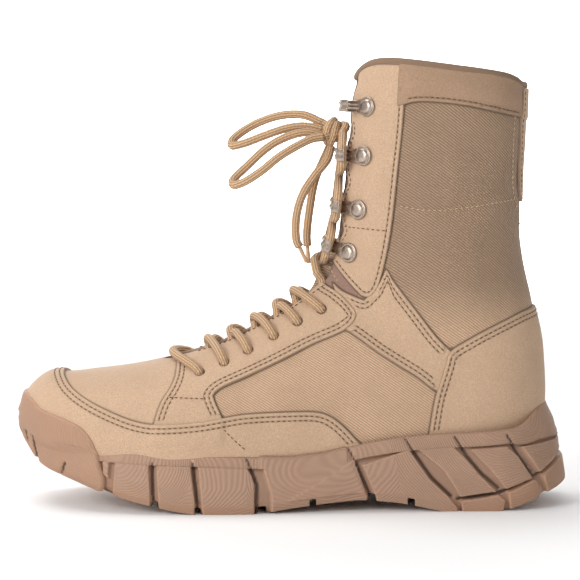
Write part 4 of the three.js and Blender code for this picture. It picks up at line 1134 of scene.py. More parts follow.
def line_length(points):
    """Length of a line of points."""
    return float(np.linalg.norm(np.diff(points, axis=0), axis=1).sum())


def lace_places(side):
    """Holes of one side as places on the last; 0 is the outer side."""
    sign = (-1, 1)[side]
    found = []
    for x, z in EYELETS:
        u, v = find_on_last(x * SOLE_LENGTH, float(rise(z)), sign)
        found.append((u, v if sign < 0 else v - 1))
    return found


def surface(u, v, offset):
    """Points over the last."""
    offset = np.asarray(offset, float)
    if offset.ndim:
        offset = offset[..., None]
    return last_point(u, v) + last_normal(u, v) * offset


def hook_frame(place, sign):
    """Where a hook stands: its forward, sideways and outward axes, and its seat."""
    u, v = find_on_last(place[0] * SOLE_LENGTH, float(rise(place[1])), sign)
    out = last_normal(u, v)
    ahead = last_point(u, v + sign * 0.02) - last_point(u, v - sign * 0.02)
    ahead = unit(ahead - out * (ahead @ out))
    seat = last_point(u, v) + out * (2 * GAP + OVERLAY)
    return ahead, np.cross(out, ahead), out, seat


CHANNEL = LACE + 2 * HOOK_SLACK
CHANNEL_AT = (HOOK_LENGTH - HOOK_PLATE - CHANNEL / 2, HOOK_PLATE + CHANNEL / 2)


def hook_channel(place, sign):
    """The middle of a hook's fold, and the way the lace runs through it."""
    ahead, aside, out, seat = hook_frame(place, sign)
    up = aside * -sign
    if up[2] < 0:
        up = -up
    return seat + ahead * CHANNEL_AT[0] + out * CHANNEL_AT[1], up


def strand_paths():
    """The middle lines of all the drawn-tight stretches of the lace."""
    holes = [lace_places(0), lace_places(1)]

    def into_hole(place, towards):
        """Points over a hole's lip and through it."""
        lip = surface(place[0], place[1], 1.7)
        return [lip + (towards - lip) * 0.1, surface(place[0], place[1], -3.4)]

    def from_edge(near, far):
        """Share of the way from one place to another where the throat's edge is."""
        f = np.linspace(0, 1, 200)
        u = near[0] + f * (far[0] - near[0])
        p = last_point(u, near[1] + f * (far[1] - near[1]))
        open_ = np.abs(p[:, 1] - last_rows(u)[:, CENTRE]) < throat_half(u)
        return f[np.argmax(open_)] if open_.any() else 0.2

    def strand(near, far, top, steps=13, stop=1.0, middles=(0.9, 4.5), last=4.0):
        """Points from under the near edge, over the tongue, to the far side."""
        edge = from_edge(near, far)
        f = np.concatenate([[edge - 0.07, edge + 0.015], np.linspace(edge + 0.09, stop, steps)])
        middle = middles[top]
        at = (edge - 0.07, edge + 0.015, edge + 0.09, 0.5, 0.72, 1)
        height = np.interp(f, at, (-4.2, -1.2, 0.6, middle, last, 4.1))
        return surface(near[0] + f**1.8 * (far[0] - near[0]), near[1] + f * (far[1] - near[1]), height)

    paths = []
    f = np.linspace(0, 1, 15)
    ahead = holes[0][0][0] - 0.62 * np.sin(np.pi * f) ** 0.8
    bar = surface(ahead, holes[0][0][1] + f * (holes[1][0][1] - holes[0][0][1]), 4.3 - 1.2 * np.sin(np.pi * f))
    paths.append([*into_hole(holes[0][0], bar[3])[::-1], *bar[2:-2], *into_hole(holes[1][0], bar[-4])])
    for side in (0, 1):
        near, far = holes[side], holes[1 - side]
        for i in range(len(near) - 1):
            run = strand(near[i], far[i + 1], top=(i + side) % 2)
            paths.append([*run[:-2], *into_hole(far[i + 1], run[-3])])
        route, here = [], side
        for k in range(KNOT_HOOK):
            here = 1 - here
            sign = (-1, 1)[here]
            centre, up = hook_channel(RIVETS[k], sign)
            if k == 0:
                u, v = find_on_last(centre[0], centre[2], sign)
                end = (u, v if here == 0 else v - 1)
                run = strand(near[-1], end, side, 7, 0.74, (4.4, 8.8), 5.6)
                route = list(run)
            else:
                middle = (route[-1] + centre) / 2 + np.array([-HOOK_BOW, (0.9, -0.9)[side], 0])
                route.append(middle)
            for share in (-0.9, -0.3, 0.3, 0.9):
                route.append(centre + up * share * HOOK_WIDTH)
        route.append(KNOT_AT + np.array([KNOT_SIDE[0], (-1, 1)[here] * KNOT_SIDE[1], KNOT_SIDE[2]]))
        paths.append(route)
    return [curve_through(p) for p in paths]


class BOOT_OT_lace(bpy.types.Operator):
    """Lays the lace: the drawn stretches, the knot, both loops and both ends with their tips"""

    bl_idname = "boot.lace"
    bl_label = "Lace"

    def execute(self, context):
        mix_finishes()
        lace = FINISHES["lace"]
        radius = sizes().lace / MM / 2
        bm = bmesh.new()
        for path in strand_paths():
            rolled_tube(bm, path, radius)
        bmesh.ops.recalc_face_normals(bm, faces=bm.faces)
        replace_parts(finished("lace_drawn", bm, [lace], "lace"), "lace_crossings")

        bm = bmesh.new()
        for ring in KNOT_RINGS:
            line = curve_through([*ring, *ring[:3]], 0.8)
            gap = np.linalg.norm(line[len(line) // 2:] - line[0], axis=1)
            line = line[:len(line) // 2 + int(np.argmin(gap))]
            rolled_tube(bm, KNOT_AT + np.concatenate([line, line[:1]]), radius * 0.98, closed=True,
                        turn=(0.1, 0.2, 1))
        for rows in KNOT_STRANDS:
            rolled_tube(bm, curve_through(KNOT_AT + np.array(rows), 0.8), radius * 0.96)
        for rows in (LOOP_UPPER, LOOP_LOWER):
            for at in (rows[0], rows[-1]):
                root = np.array(at) * (0, 0.55, 0.55)
                rolled_tube(bm, KNOT_AT + np.linspace(at, root, 6), radius * 0.98)
        bmesh.ops.recalc_face_normals(bm, faces=bm.faces)
        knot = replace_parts(finished("lace_tied_knot", bm, [lace], "lace"), "lace_knot")

        tips = {}
        for name, rows in (("long", END_LONG), ("short", END_SHORT)):
            line = KNOT_AT + np.array(rows, float)
            way = unit(line[-1] - line[-2])
            start = line[-1] - way * 1.5
            path = np.array([start + way * s for s in np.linspace(0, AGLET_LENGTH + 1.8, 14)])
            radii = np.interp(np.arange(14), [0, 1, 2, 12, 13], [2.1, 1.75, AGLET / 2, AGLET / 2, AGLET / 2 - 0.3])
            tip = tube_object("tip_" + name, path, radii, FINISHES["tip"], "lace")
            tips[name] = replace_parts(tip, "aglet_" + name)
        for name, rows, pieces, end in (
            ("loop_upper", LOOP_UPPER, [knot], "knot"), ("loop_lower", LOOP_LOWER, [], "knot"),
            ("end_long", END_LONG, [tips["long"]], "fitting"), ("end_short", END_SHORT, [tips["short"]], "fitting"),
        ):
            path = curve_through(KNOT_AT + np.array(rows, float))
            cord = tube_object("bow_" + name, path, radius, lace, "lace")
            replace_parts(cord, "lace_" + name)
            tuple(path[0] * MM)
            (path * MM).tolist()
        return {"FINISHED"}


# ---------------------------------------------------------------------------
# Upper
# ---------------------------------------------------------------------------

GRIDS = {}


def front_grid():
    """The net whose open edge runs under the foot and up the back."""
    if "front" not in GRIDS:
        GRIDS["front"] = LastGrid(-0.5, 0.5)
    return GRIDS["front"]


def back_grid():
    """The net whose open edge runs along the ridge."""
    if "back" not in GRIDS:
        GRIDS["back"] = LastGrid(0.0, 1.0)
    return GRIDS["back"]


def hole_distance(grid):
    """Distance from the edge of the nearest lace hole."""
    best = np.full(grid.x.shape, 99.0)
    for side in (0, 1):
        for u, v in lace_places(side):
            centre = last_point(u, v)
            best = np.minimum(best, np.linalg.norm(grid.points - centre, axis=-1) - EYELET / 2)
    return best


STITCHES = {"dark_thread": [], "light_thread": []}


def sew(points, normals, thread_name, lift=0.1):
    """Sets a row of stitches along a line on the surface."""
    s = sizes()
    pitch = s.stitch_pitch / MM
    if line_length(points) < pitch * 2:
        return
    p, n = evened(points, pitch, normals)
    for a, b, out in zip(p, p[1:], n):
        STITCHES[thread_name].append(((a + b) / 2 + unit(out) * lift, unit(b - a), unit(out)))


def seam_along(grid, measure, level, height, thread_name, allowed, lift=0.12):
    """Sews along a level of a measure, at a height over the net, where it is allowed."""
    for line in contour(measure, level):
        p = sampled(grid.points, line)
        n = sampled(grid.normals, line)
        keep = sampled(allowed, line) > 0
        p = p + n * sampled(height, line)[:, None]
        start = None
        for i in range(len(line) + 1):
            if i < len(line) and keep[i]:
                start = i if start is None else start
            elif start is not None:
                if i - start > 2:
                    sew(p[start:i], n[start:i], thread_name, lift)
                start = None


def side_field(grid, side):
    """Positive on one side of the boot: 0 outer, 1 inner; everywhere for None."""
    if side is None:
        return np.full(grid.x.shape, FAR)
    return np.where(grid.vv * (1, -1)[side] > -1e-6, FAR, -FAR)


OUTLINES = {
    "mudguard": MUDGUARD, "eyestay": EYESTAY, "ankle_strip": ANKLE_STRIP, "hook_facing": HOOK_FACING,
    "collar_band": COLLAR_BAND, "heel_counter": COUNTER, "back_stay": BACK_STAY,
}


def scallops(z):
    """How deep the facing's edge is cut in between its hooks, at heights z."""
    seats = [float(rise(at)) for _, at in RIVETS]
    middle = [(a + b) / 2 for a, b in zip(seats, seats[1:])] + [seats[-1] + 14]
    return 3.4 * sum(np.exp(-((z - m) / 5.5) ** 2) for m in middle)


def leather_panel(name, key, grid, thickness, node, side=None, finish="leather", under=(), over=(), rows=ONE_ROW,
                  throat_inset=0.0, scallop=False, holes=False, seed=0.0, collar=BINDING, puff=0.0):
    """Cuts a leather panel from the last, lays it over its neighbours and sews it down."""
    own = grid.outline(key, OUTLINES[key])
    cover = np.minimum(own, grid.below_collar() - collar)
    throat = grid.throat() - throat_inset
    if scallop:
        throat = throat - scallops(grid.z)
    cover = np.minimum(cover, throat)
    for other, lap in under:
        cover = np.minimum(cover, lap - grid.outline(other, OUTLINES[other]))
    if holes:
        cover = np.minimum(cover, hole_distance(grid))
    cover = np.minimum(cover, side_field(grid, side))
    others = np.minimum(np.minimum(grid.above_rim() - 1.0, throat), grid.below_collar() - collar)
    for other, _ in under:
        others = np.minimum(others, -grid.outline(other, OUTLINES[other]))
    inside = np.minimum(others - 0.5, side_field(grid, side))
    seam = np.where(inside > 1.0, own, FAR)
    shown = np.minimum(cover, grid.above_rim() + 3.0)
    lift = wavy(grid.points, 0.55, 26.0, seed) + puff * ramp(cover, 2.5, 9.0)
    for other, extra in over:
        lift = lift + extra * ramp(grid.outline(other, OUTLINES[other]), -0.8, 0.8)
    box = box_of(shown)
    piece = Sheet(grid.points[box], grid.normals[box], cover[box], lift=lift[box], rim=(grid.above_rim() + 3.0)[box],
                  seam=seam[box])
    piece.trim(0.0)
    piece.trim(0.0, "rim")
    for level in EDGE_LEVELS[1:]:
        piece.score(level)
    edge, raised, sewn = piece.layers["edge"], piece.layers["lift"], piece.layers["seam"]

    def height(vert):
        """The panel's own profile, what it lies over, and a dent along each stitch row."""
        dent = sum(0.22 * math.exp(-((vert[sewn] - row) / 0.8) ** 2) for row in rows)
        return edge_height(vert[edge], thickness) + max(vert[raised], -0.6) - dent

    piece.raise_by(height)
    made = finished(name, piece.bm, [FINISHES[finish]], "leather")
    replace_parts(made, node)
    # Stitch rows follow the panel's own outline, where no other edge is nearer.
    for row in rows:
        seam_along(grid, own, row, thickness + lift - 0.15, "dark_thread", inside - 1.0)


def along_throat(side, height, start_u, end_u, inset, scallop=False):
    """A stitch row beside the throat."""
    sign = (1, -1)[side]
    u = np.linspace(start_u, end_u, 160)
    half = throat_half(u) + inset
    v = np.zeros_like(u)
    for _ in range(2):
        want = half + (scallops(last_point(u, v * sign)[:, 2]) if scallop else 0.0)
        low, high = np.zeros_like(u), np.full_like(u, 0.24)
        centre = last_rows(u)[:, CENTRE]
        for _ in range(30):
            v = (low + high) / 2
            reach = np.abs(last_point(u, v * sign)[:, 1] - centre)
            low, high = np.where(reach < want, v, low), np.where(reach < want, high, v)
    p = surface(u, v * sign, height)
    below = inside_distance(p[:, 0], p[:, 2], drawn_outline(COLLAR_LINE)) < -BINDING - 1.5
    p, n = p[below], last_normal(u, v * sign)[below]
    if len(p) > 3:
        sew(p, n, "dark_thread")


VAMP_END = -0.18 * SOLE_LENGTH
THROAT_TRIM = 7  # width of the under-layer beside the throat
PIPING = 2.25  # radius of the binding round the top line


class BOOT_OT_upper(bpy.types.Operator):
    """Makes the lined upper: leather vamp, twill quarters and shaft, and the rolled top line"""

    bl_idname = "boot.upper"
    bl_label = "Upper"

    def execute(self, context):
        mix_finishes()
        grid = front_grid()
        edge = np.minimum(np.minimum(grid.below_collar(), grid.throat()), hole_distance(grid))
        lift = wavy(grid.points, 0.7, 24.0, 3.0)
        # A shallow trough where the foot bends behind the toes.
        lift = lift - 0.8 * np.exp(-((grid.x + 40) / 9) ** 2) * ramp(grid.z, 50, 66) * 0.4
        shaft = np.where(grid.uu > 10.5, grid.throat(), 99.0)
        # Painted shade: a measure for a dark line on the shell beside each panel's edge, 5 at the edge, less by its
        # distance.
        nearest = np.max([grid.outline(key, shares) for key, shares in OUTLINES.items()], axis=0)
        panel_edge_shadow = 5.0 + np.clip(nearest, -5.0, 3.0)
        gusset = grid.outline("gusset", ANKLE_GUSSET)
        piece = Sheet(grid.points, grid.normals, edge, lift=lift, shaft=shaft, panel_edge_shadow=panel_edge_shadow, gusset=gusset)
        piece.weld()
        piece.trim(0.0)
        raised, shaft, satin = piece.layers["lift"], piece.layers["shaft"], piece.layers["gusset"]
        piece.score(-0.5, "gusset")
        piece.raise_by(lambda v: max(min(v[raised], 0.5), -0.5))
        # Twill behind the vamp, leather in front, the under-layer beside the throat, and the satin gusset.
        for face in piece.bm.faces:
            middle = face.calc_center_median()
            face.material_index = 0 if middle.x > VAMP_END else 1
            if min(v[shaft] for v in face.verts) < THROAT_TRIM:
                face.material_index = 3
            if min(v[satin] for v in face.verts) > -0.5:
                face.material_index = 4
        finishes = [FINISHES[name] for name in ("twill", "leather", "lining", "under", "satin")]
        made = finished("upper_shell", piece.bm, finishes, "fabric")
        add_wall(made, "wall", WALL, 2, 3)
        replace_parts(made, "upper")
        # The rolled binding round the top line.
        bm = bmesh.new()
        for line in contour(grid.below_collar(), 1.5):
            p = sampled(grid.points, line) - sampled(grid.normals, line) * (WALL / 2 - 0.6)
            keep = sampled(grid.throat(), line) > -1.0
            p = p[keep]
            if len(p) > 8 and p[:, 2].min() > 150:
                rolled_tube(bm, evened(p, 1.6)[0], PIPING, sides=12, turn=(0, 0, 1))
        bmesh.ops.recalc_face_normals(bm, faces=bm.faces)
        finished("top_binding", bm, [FINISHES["band"]], "leather")
        return {"FINISHED"}


class BOOT_OT_panels(bpy.types.Operator):
    """Cuts and sews the leather panels of both sides"""

    bl_idname = "boot.panels"
    bl_label = "Panels"

    def execute(self, context):
        front, back = front_grid(), back_grid()
        for side, word in enumerate(("lateral", "medial")):
            leather_panel("strap_" + word, "ankle_strip", front, OVERLAY, "ankle_strip_" + word, side, "strap",
                          under=(("eyestay", 4), ("hook_facing", 4), ("heel_counter", 4)), rows=TWO_ROWS,
                          seed=1.0 + side)
            leather_panel("lace_stay_" + word, "eyestay", front, OVERLAY, "eyestay_" + word, side, "strap",
                          under=(("mudguard", 4),), over=(("ankle_strip", 1.0),), rows=TWO_ROWS, holes=True,
                          seed=4.0 + side)
            leather_panel("facing_" + word, "hook_facing", front, OVERLAY, "hook_facing_" + word, side,
                          over=(("ankle_strip", 1.0),), throat_inset=0.4, scallop=True, seed=7.0 + side)
            leather_panel("top_band_" + word, "collar_band", front, OVERLAY, "collar_band_" + word, side, "band",
                          under=(("hook_facing", 4), ("back_stay", 4)), seed=9.0 + side, collar=1.0, puff=1.0)
            along_throat(side, OVERLAY + 0.1, 5.4, 9.6, 2.6)
            along_throat(side, OVERLAY + 0.1, 12.6, LAST_END - 0.6, 2.9, scallop=True)
        leather_panel("toe_guard", "mudguard", front, HEAVY_OVERLAY, "mudguard", over=(("eyestay", 0.9),),
                      rows=TWO_ROWS, finish="strap", seed=11.0)
        leather_panel("counter", "heel_counter", back, HEAVY_OVERLAY, "heel_counter", over=(("ankle_strip", 0.9),),
                      rows=TWO_ROWS, finish="strap", seed=13.0)
        leather_panel("rear_strip", "back_stay", back, OVERLAY, "back_stay", over=(("collar_band", 0.9),), seed=15.0)
        return {"FINISHED"}


# Seams apart from the panels' own: thread, height over the last and points as shares.
SIDE_SEAMS = [
    ("light_thread", 0.3, [[0.195, 1.608], [0.235, 1.598], [0.27, 1.597], [0.325, 1.606], [0.425, 1.628]]),
    ("light_thread", 0.3, [[0.403, 1.85], [0.4, 1.77], [0.4, 1.67], [0.402, 1.64], [0.41, 1.6], [0.42, 1.55]]),
    ("dark_thread", OVERLAY + 0.2, [[0.101, 1.55], [0.173, 1.542]]),
    ("light_thread", 0.3, [[0.0715, 1.442], [0.0795, 1.42], [0.088, 1.398]]),
    ("dark_thread", OVERLAY + 0.1, [[-0.216, 1.097], [-0.152, 1.095]]),
    ("dark_thread", HEAVY_OVERLAY, [[-0.119, 1.02], [-0.1, 0.96], [-0.08, 0.83]]),
]
STITCH_BATCH = 40  # a mesh that grows stitch by stitch is slow, so they are made in batches


class BOOT_OT_stitches(bpy.types.Operator):
    """Sets every stitch as a short raised thread"""

    bl_idname = "boot.stitches"
    bl_label = "Stitches"

    def execute(self, context):
        s = sizes()
        for side in (0, 1):
            for thread_name, height, shares in SIDE_SEAMS:
                self.side_seam(side_points(shares), side, thread_name, height)
        for name, stitches in STITCHES.items():
            bm = bmesh.new()
            size = Matrix.Diagonal((s.stitch / MM / 2, s.thread / MM / 2, s.thread / MM / 2, 1))
            for start in range(0, len(stitches), STITCH_BATCH):
                few = bmesh.new()
                for middle, way, out in stitches[start:start + STITCH_BATCH]:
                    turn = placed(way, np.cross(out, way), out, middle)
                    bmesh.ops.create_uvsphere(few, u_segments=6, v_segments=4, radius=1.0, matrix=turn @ size)
                held = bpy.data.meshes.new("few_stitches")
                few.to_mesh(held)
                few.free()
                bm.from_mesh(held)
                bpy.data.meshes.remove(held)
            finished("stitching_" + name.split("_")[0], bm, [FINISHES[name]], "leather")
        return {"FINISHED"}

    def side_seam(self, outline, side, thread_name, height):
        """Sews along a side-view line."""
        line = evened(np.column_stack([outline, np.zeros(len(outline))]), 4.0)[0]
        places = [find_on_last(x, z, (-1, 1)[side]) for x, z, _ in line]
        u, v = np.array(places).T
        sew(surface(u, v, height), last_normal(u, v), thread_name)


def straight_up(points):
    """Upward normals for a level net."""
    up = np.zeros_like(points)
    up[..., 2] = 1
    return up


class BOOT_OT_inside(bpy.types.Operator):
    """Makes the padded tongue and the footbed"""

    bl_idname = "boot.inside"
    bl_label = "Tongue and footbed"

    def execute(self, context):
        grid = front_grid()
        centre = last_rows(grid.uu)[..., CENTRE]
        half = throat_half(np.maximum(grid.uu, THROAT_START)) + TONGUE_LAP
        ridge = np.cos(2 * np.pi * grid.vv) > 0
        edge = np.where(ridge, half - np.abs(grid.y - centre), -FAR)
        edge = np.minimum(edge, grid.below_collar() - 2 * BINDING)
        edge = np.minimum(edge, (grid.uu - THROAT_START + 0.6) * 20)
        lift = -WALL - GAP - TONGUE + TONGUE * ramp(edge, 0, 7) + wavy(grid.points, 0.8, 16.0, 21.0) - 0.3
        # The padding swells where the ankle bends, between the last holes and the first hooks.
        lift = lift + 4.4 * np.exp(-((grid.uu - 10.3) / 1.3) ** 2) * ramp(edge, 8, 18)
        box = box_of(edge)
        piece = Sheet(grid.points[box], grid.normals[box], edge[box], lift=lift[box])
        piece.trim(0.0)
        raised = piece.layers["lift"]
        piece.raise_by(lambda v: v[raised])
        finishes = [FINISHES[name] for name in ("twill", "lining", "under")]
        made = finished("padded_tongue", piece.bm, finishes, "fabric")
        add_wall(made, "padding", 2.6, 1, 2)
        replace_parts(made, "tongue")

        share, across = np.meshgrid(np.linspace(0.055, 0.935, 130), np.linspace(-1, 1, 41), indexing="ij")
        px, py_out = plan_point(share, -1, SOLE_MARGIN + 4.0)
        _, py_in = plan_point(share, 1, SOLE_MARGIN + 4.0)
        taper = np.sqrt(np.clip(1 - np.abs(share - 0.495) ** 6 / 0.44 ** 6, 0.0, 1))
        y = (py_out + py_in) / 2 + (py_in - py_out) / 2 * across * taper
        low = LAST[(LAST[:, BASE_Z] <= SOLE_HEIGHT * 1.05) & (LAST[:, BASE_X] <= 0.41 * SOLE_LENGTH)]
        bed = eased(px, low[:, BASE_X], low[:, BASE_Z], 6.0)
        z = bed + WALL + GAP + INSOLE + 2.2 * np.abs(across) ** 3
        points = np.stack([px, y, z], axis=-1)
        rim = np.minimum((1 - np.abs(across)) * 40, 9)
        piece = Sheet(points, straight_up(points), rim)
        bmesh.ops.reverse_faces(piece.bm, faces=piece.bm.faces)
        finishes = [FINISHES[name] for name in ("lining", "lining", "under")]
        made = finished("footbed", piece.bm, finishes, "lining")
        add_wall(made, "foam", 3.0, 1, 2)
        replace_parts(made, "insole")
        return {"FINISHED"}


# ---------------------------------------------------------------------------
# Sole
# ---------------------------------------------------------------------------

def wall_net(low, high, levels, steps=300):
    """A net round the sole's side wall, from the toe by the outer side and back."""
    t = np.linspace(0, 1, steps + 1)
    # Points lie closer together towards the rounded ends.
    share = 0.45 * (1 - np.cos(np.pi * t)) / 2 + 0.55 * t
    share = np.where(share < 0.1, 0.1 * (share / 0.1) ** 1.7, share)
    share = np.where(share > 0.9, 1 - 0.1 * ((1 - share) / 0.1) ** 1.7, share)
    share = np.concatenate([share, share[::-1][1:]])
    side = np.concatenate([-np.ones(steps + 1), np.ones(steps)])
    nominal = (share - 0.5) * SOLE_LENGTH
    bottom, top = low(nominal), high(nominal)
    rows = []
    for level in levels:
        z = bottom + level * (top - bottom)
        up = (z - floor_at(nominal)) / (rim_at(nominal) - floor_at(nominal))
        toe, heel = np.maximum(0, 1 - share / 0.12), np.maximum(0, 1 - (1 - share) / 0.14)
        side_in = np.interp(up, SIDE_LEAN[:, 0], SIDE_LEAN[:, 1])
        ends = [np.interp(share_of(z), END_LEAN[:, 0], END_LEAN[:, k]) for k in (1, 2)]
        x, y = plan_point(share, side, side_in * (1 - toe - heel) + ends[0] * toe + ends[1] * heel)
        rows.append(np.stack([x, y, z], axis=1))
    points = np.array(rows)
    return points, net_normals(points)


def blocks_distance(points, outlines):
    """Distance inside the nearest of several side-view blocks."""
    x, z = points[..., 0], points[..., 2]
    best = np.full(x.shape, -99.0)
    for shares in outlines:
        best = np.maximum(best, inside_distance(x, z, side_points(shares)))
    return over_surface(points, best)


def slit_distance(points, slits):
    """Distance from the nearest of several slits, as seen from the side."""
    x, z = points[..., 0], points[..., 2]
    best = np.full(x.shape, 99.0)
    for shares in slits:
        line = side_points(shares)
        for a, b in zip(line, line[1:]):
            best = np.minimum(best, segment_distance(x, z, a, b))
    return best


def groove_distance(x, y):
    """Distance inside the nearest groove of the tread, seen from below."""
    best = np.full(x.shape, -99.0)
    for at, width, point in TREAD_GROOVES:
        middle, half, lead = at * SOLE_LENGTH, width * SOLE_LENGTH / 2, point * SOLE_LENGTH
        line = middle - lead * (1 - np.abs(y) / BALL_WIDTH)
        best = np.maximum(best, half - np.abs(x - line))
    for start, stop, half in CHANNELS:
        inside = np.minimum(half - np.abs(y), np.minimum(x - start * SOLE_LENGTH, stop * SOLE_LENGTH - x))
        best = np.maximum(best, inside)
    return best


SUNK = 0.9  # how deep the wall lies between its blocks
BLOCK_EDGE = (-0.5, 0.0, 0.3, 0.9)  # distances at which a block's rounded edge is scored
BUMPER_EDGE = (0, 0.15, 0.6, 1.4)
BAND_ROWS = 9


def heel_swell(points):
    """How much fuller the back of the heel is than its plan."""
    back = ramp(points[..., 0], 0.44 * SOLE_LENGTH, 0.485 * SOLE_LENGTH)
    return back * np.interp(points[..., 2], (4, 11, 26, 32, 42, 50, 57), (0.6, 2.0, 2.0, 1.3, 3.4, 2.6, 1.0))


def wall_height(block, slit, stand):
    """How far the sole's wall stands out, from its distances to the blocks and slits."""
    face = float(np.interp(block, BLOCK_EDGE, (-SUNK, -0.3, stand * 0.85, stand)))
    depth = float(np.interp(slit, (0.4, 0.8, 1.1), (1.6, 1.2, 0.0)))
    return face if block > 0.0 else face - depth


class BOOT_OT_midsole(bpy.types.Operator):
    """Moulds the midsole wall with its rim band and side blocks"""

    bl_idname = "boot.midsole"
    bl_label = "Midsole"

    def execute(self, context):
        mix_finishes()
        stand = sizes().block / MM

        def band(x):
            """Height of the band under the rim."""
            return np.interp(x / SOLE_LENGTH, (-0.5, -0.05, 0.13, 0.4, 0.46, 0.5), (5.2, 5.2, 6.6, 6.6, 11.5, 18.0))

        def band_foot(x):
            """The band's lower edge."""
            return rim_at(x) - band(x)

        points, _ = wall_net(lambda x: split_at(x) - 1.0, band_foot, np.linspace(0, 1, 30))
        upper, upper_normals = wall_net(lambda x: band_foot(x) + GAP, rim_at, np.linspace(0, 1, BAND_ROWS))
        # The lid turns in from the rim, under the leather, and reaches further behind the heel.
        lid = []
        behind = ramp(upper[-1][:, :1], 0.44 * SOLE_LENGTH, 0.47 * SOLE_LENGTH)
        for reach, drop, more in ((0.6, -0.25, 0), (1.6, -0.1, 0), (3.2, 0.6, 1), (5.5, 2.0, 3)):
            lid.append(upper[-1] - upper_normals[-1] * (1, 1, 0) * (reach + more * behind) - (0, 0, drop))
        net = np.concatenate([points, upper, np.array(lid)])
        lower, rim = len(points), len(points) + BAND_ROWS
        slits = slit_distance(net, SLITS)
        blocks = np.clip(blocks_distance(net, SIDE_BLOCKS), -9, 9)
        middle = np.minimum(ramp(net[..., 0], -17.5, -15.5), 1 - ramp(net[..., 0], 30.5, 32.5))
        back = ramp(net[..., 0], 0.43 * SOLE_LENGTH, 0.47 * SOLE_LENGTH)
        extra = over_surface(net, inside_distance(net[..., 0], net[..., 2], side_points(STEP_BLOCK)))
        extra = 0.55 * ramp(extra, -0.1, 0.5) + heel_swell(net)
        swell = np.array([0.75] * BAND_ROWS + [0.8, 0.5, 0, 0])[:, None]
        push = np.zeros(net.shape[:2])
        push[lower:] = swell * (1 + middle[lower:] * 1.4 + back[lower:] * 1.0)
        blocks[lower:] = 9.0
        slits[rim:] = 99
        push[lower:] -= np.interp(slits[lower:], (0.5, 1.0), (0.9, 0.0))
        slits = np.where(blocks > 0.3, np.maximum(slits, 1.0), slits)
        slits[lower:rim] = slit_distance(net[lower:rim], SLITS) + 0.15
        inband = np.zeros(net.shape[:2])
        inband[lower:] = 1.0
        flat = levelled(net_normals(net), 0.3)
        piece = Sheet(net, flat, blocks, push=push, extra=extra, slit=slits, inband=inband)
        piece.weld()
        for level in BLOCK_EDGE:
            piece.score(level)
        piece.score(0.8, "slit")
        key = piece.layers
        piece.raise_by(lambda v: v[key["extra"]] + (v[key["push"]] if v[key["inband"]] > 0.5 else wall_height(
            v[key["edge"]], v[key["slit"]], stand)))
        made = finished("midsole_wall", piece.bm, [FINISHES["midsole"]], "midsole")
        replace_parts(made, "midsole")
        return {"FINISHED"}


TOE_END = -75  # the bumper's neighbours on the last lie in front of this


def clear_of_leather(net, out, cover):
    """How far the toe bumper's net has to move out to lie on the toe leather."""
    grid = front_grid()
    rows, columns = np.nonzero(grid.x < TOE_END)
    tree = kdtree.KDTree(len(rows))
    for k, point in enumerate(grid.points[rows, columns]):
        tree.insert(point.tolist(), k)
    tree.balance()
    push = np.full(cover.shape, -9.0)
    for i, j in zip(*np.nonzero(cover > -3)):
        near, k, _ = tree.find(net[i, j].tolist())
        normal = grid.normals[rows[k], columns[k]]
        depth = (net[i, j] - near) @ normal
        push[i, j] = (HEAVY_OVERLAY + 0.4 - depth) / max(normal @ out[i, j], 0.45)
    return push


LAST_RUN_OUT, LAST_GROOVE = 85, 136  # no groove cuts the wall, or the underside, behind these
BUMPER_RISE = 0.4  # share of SOLE_HEIGHT above the rim


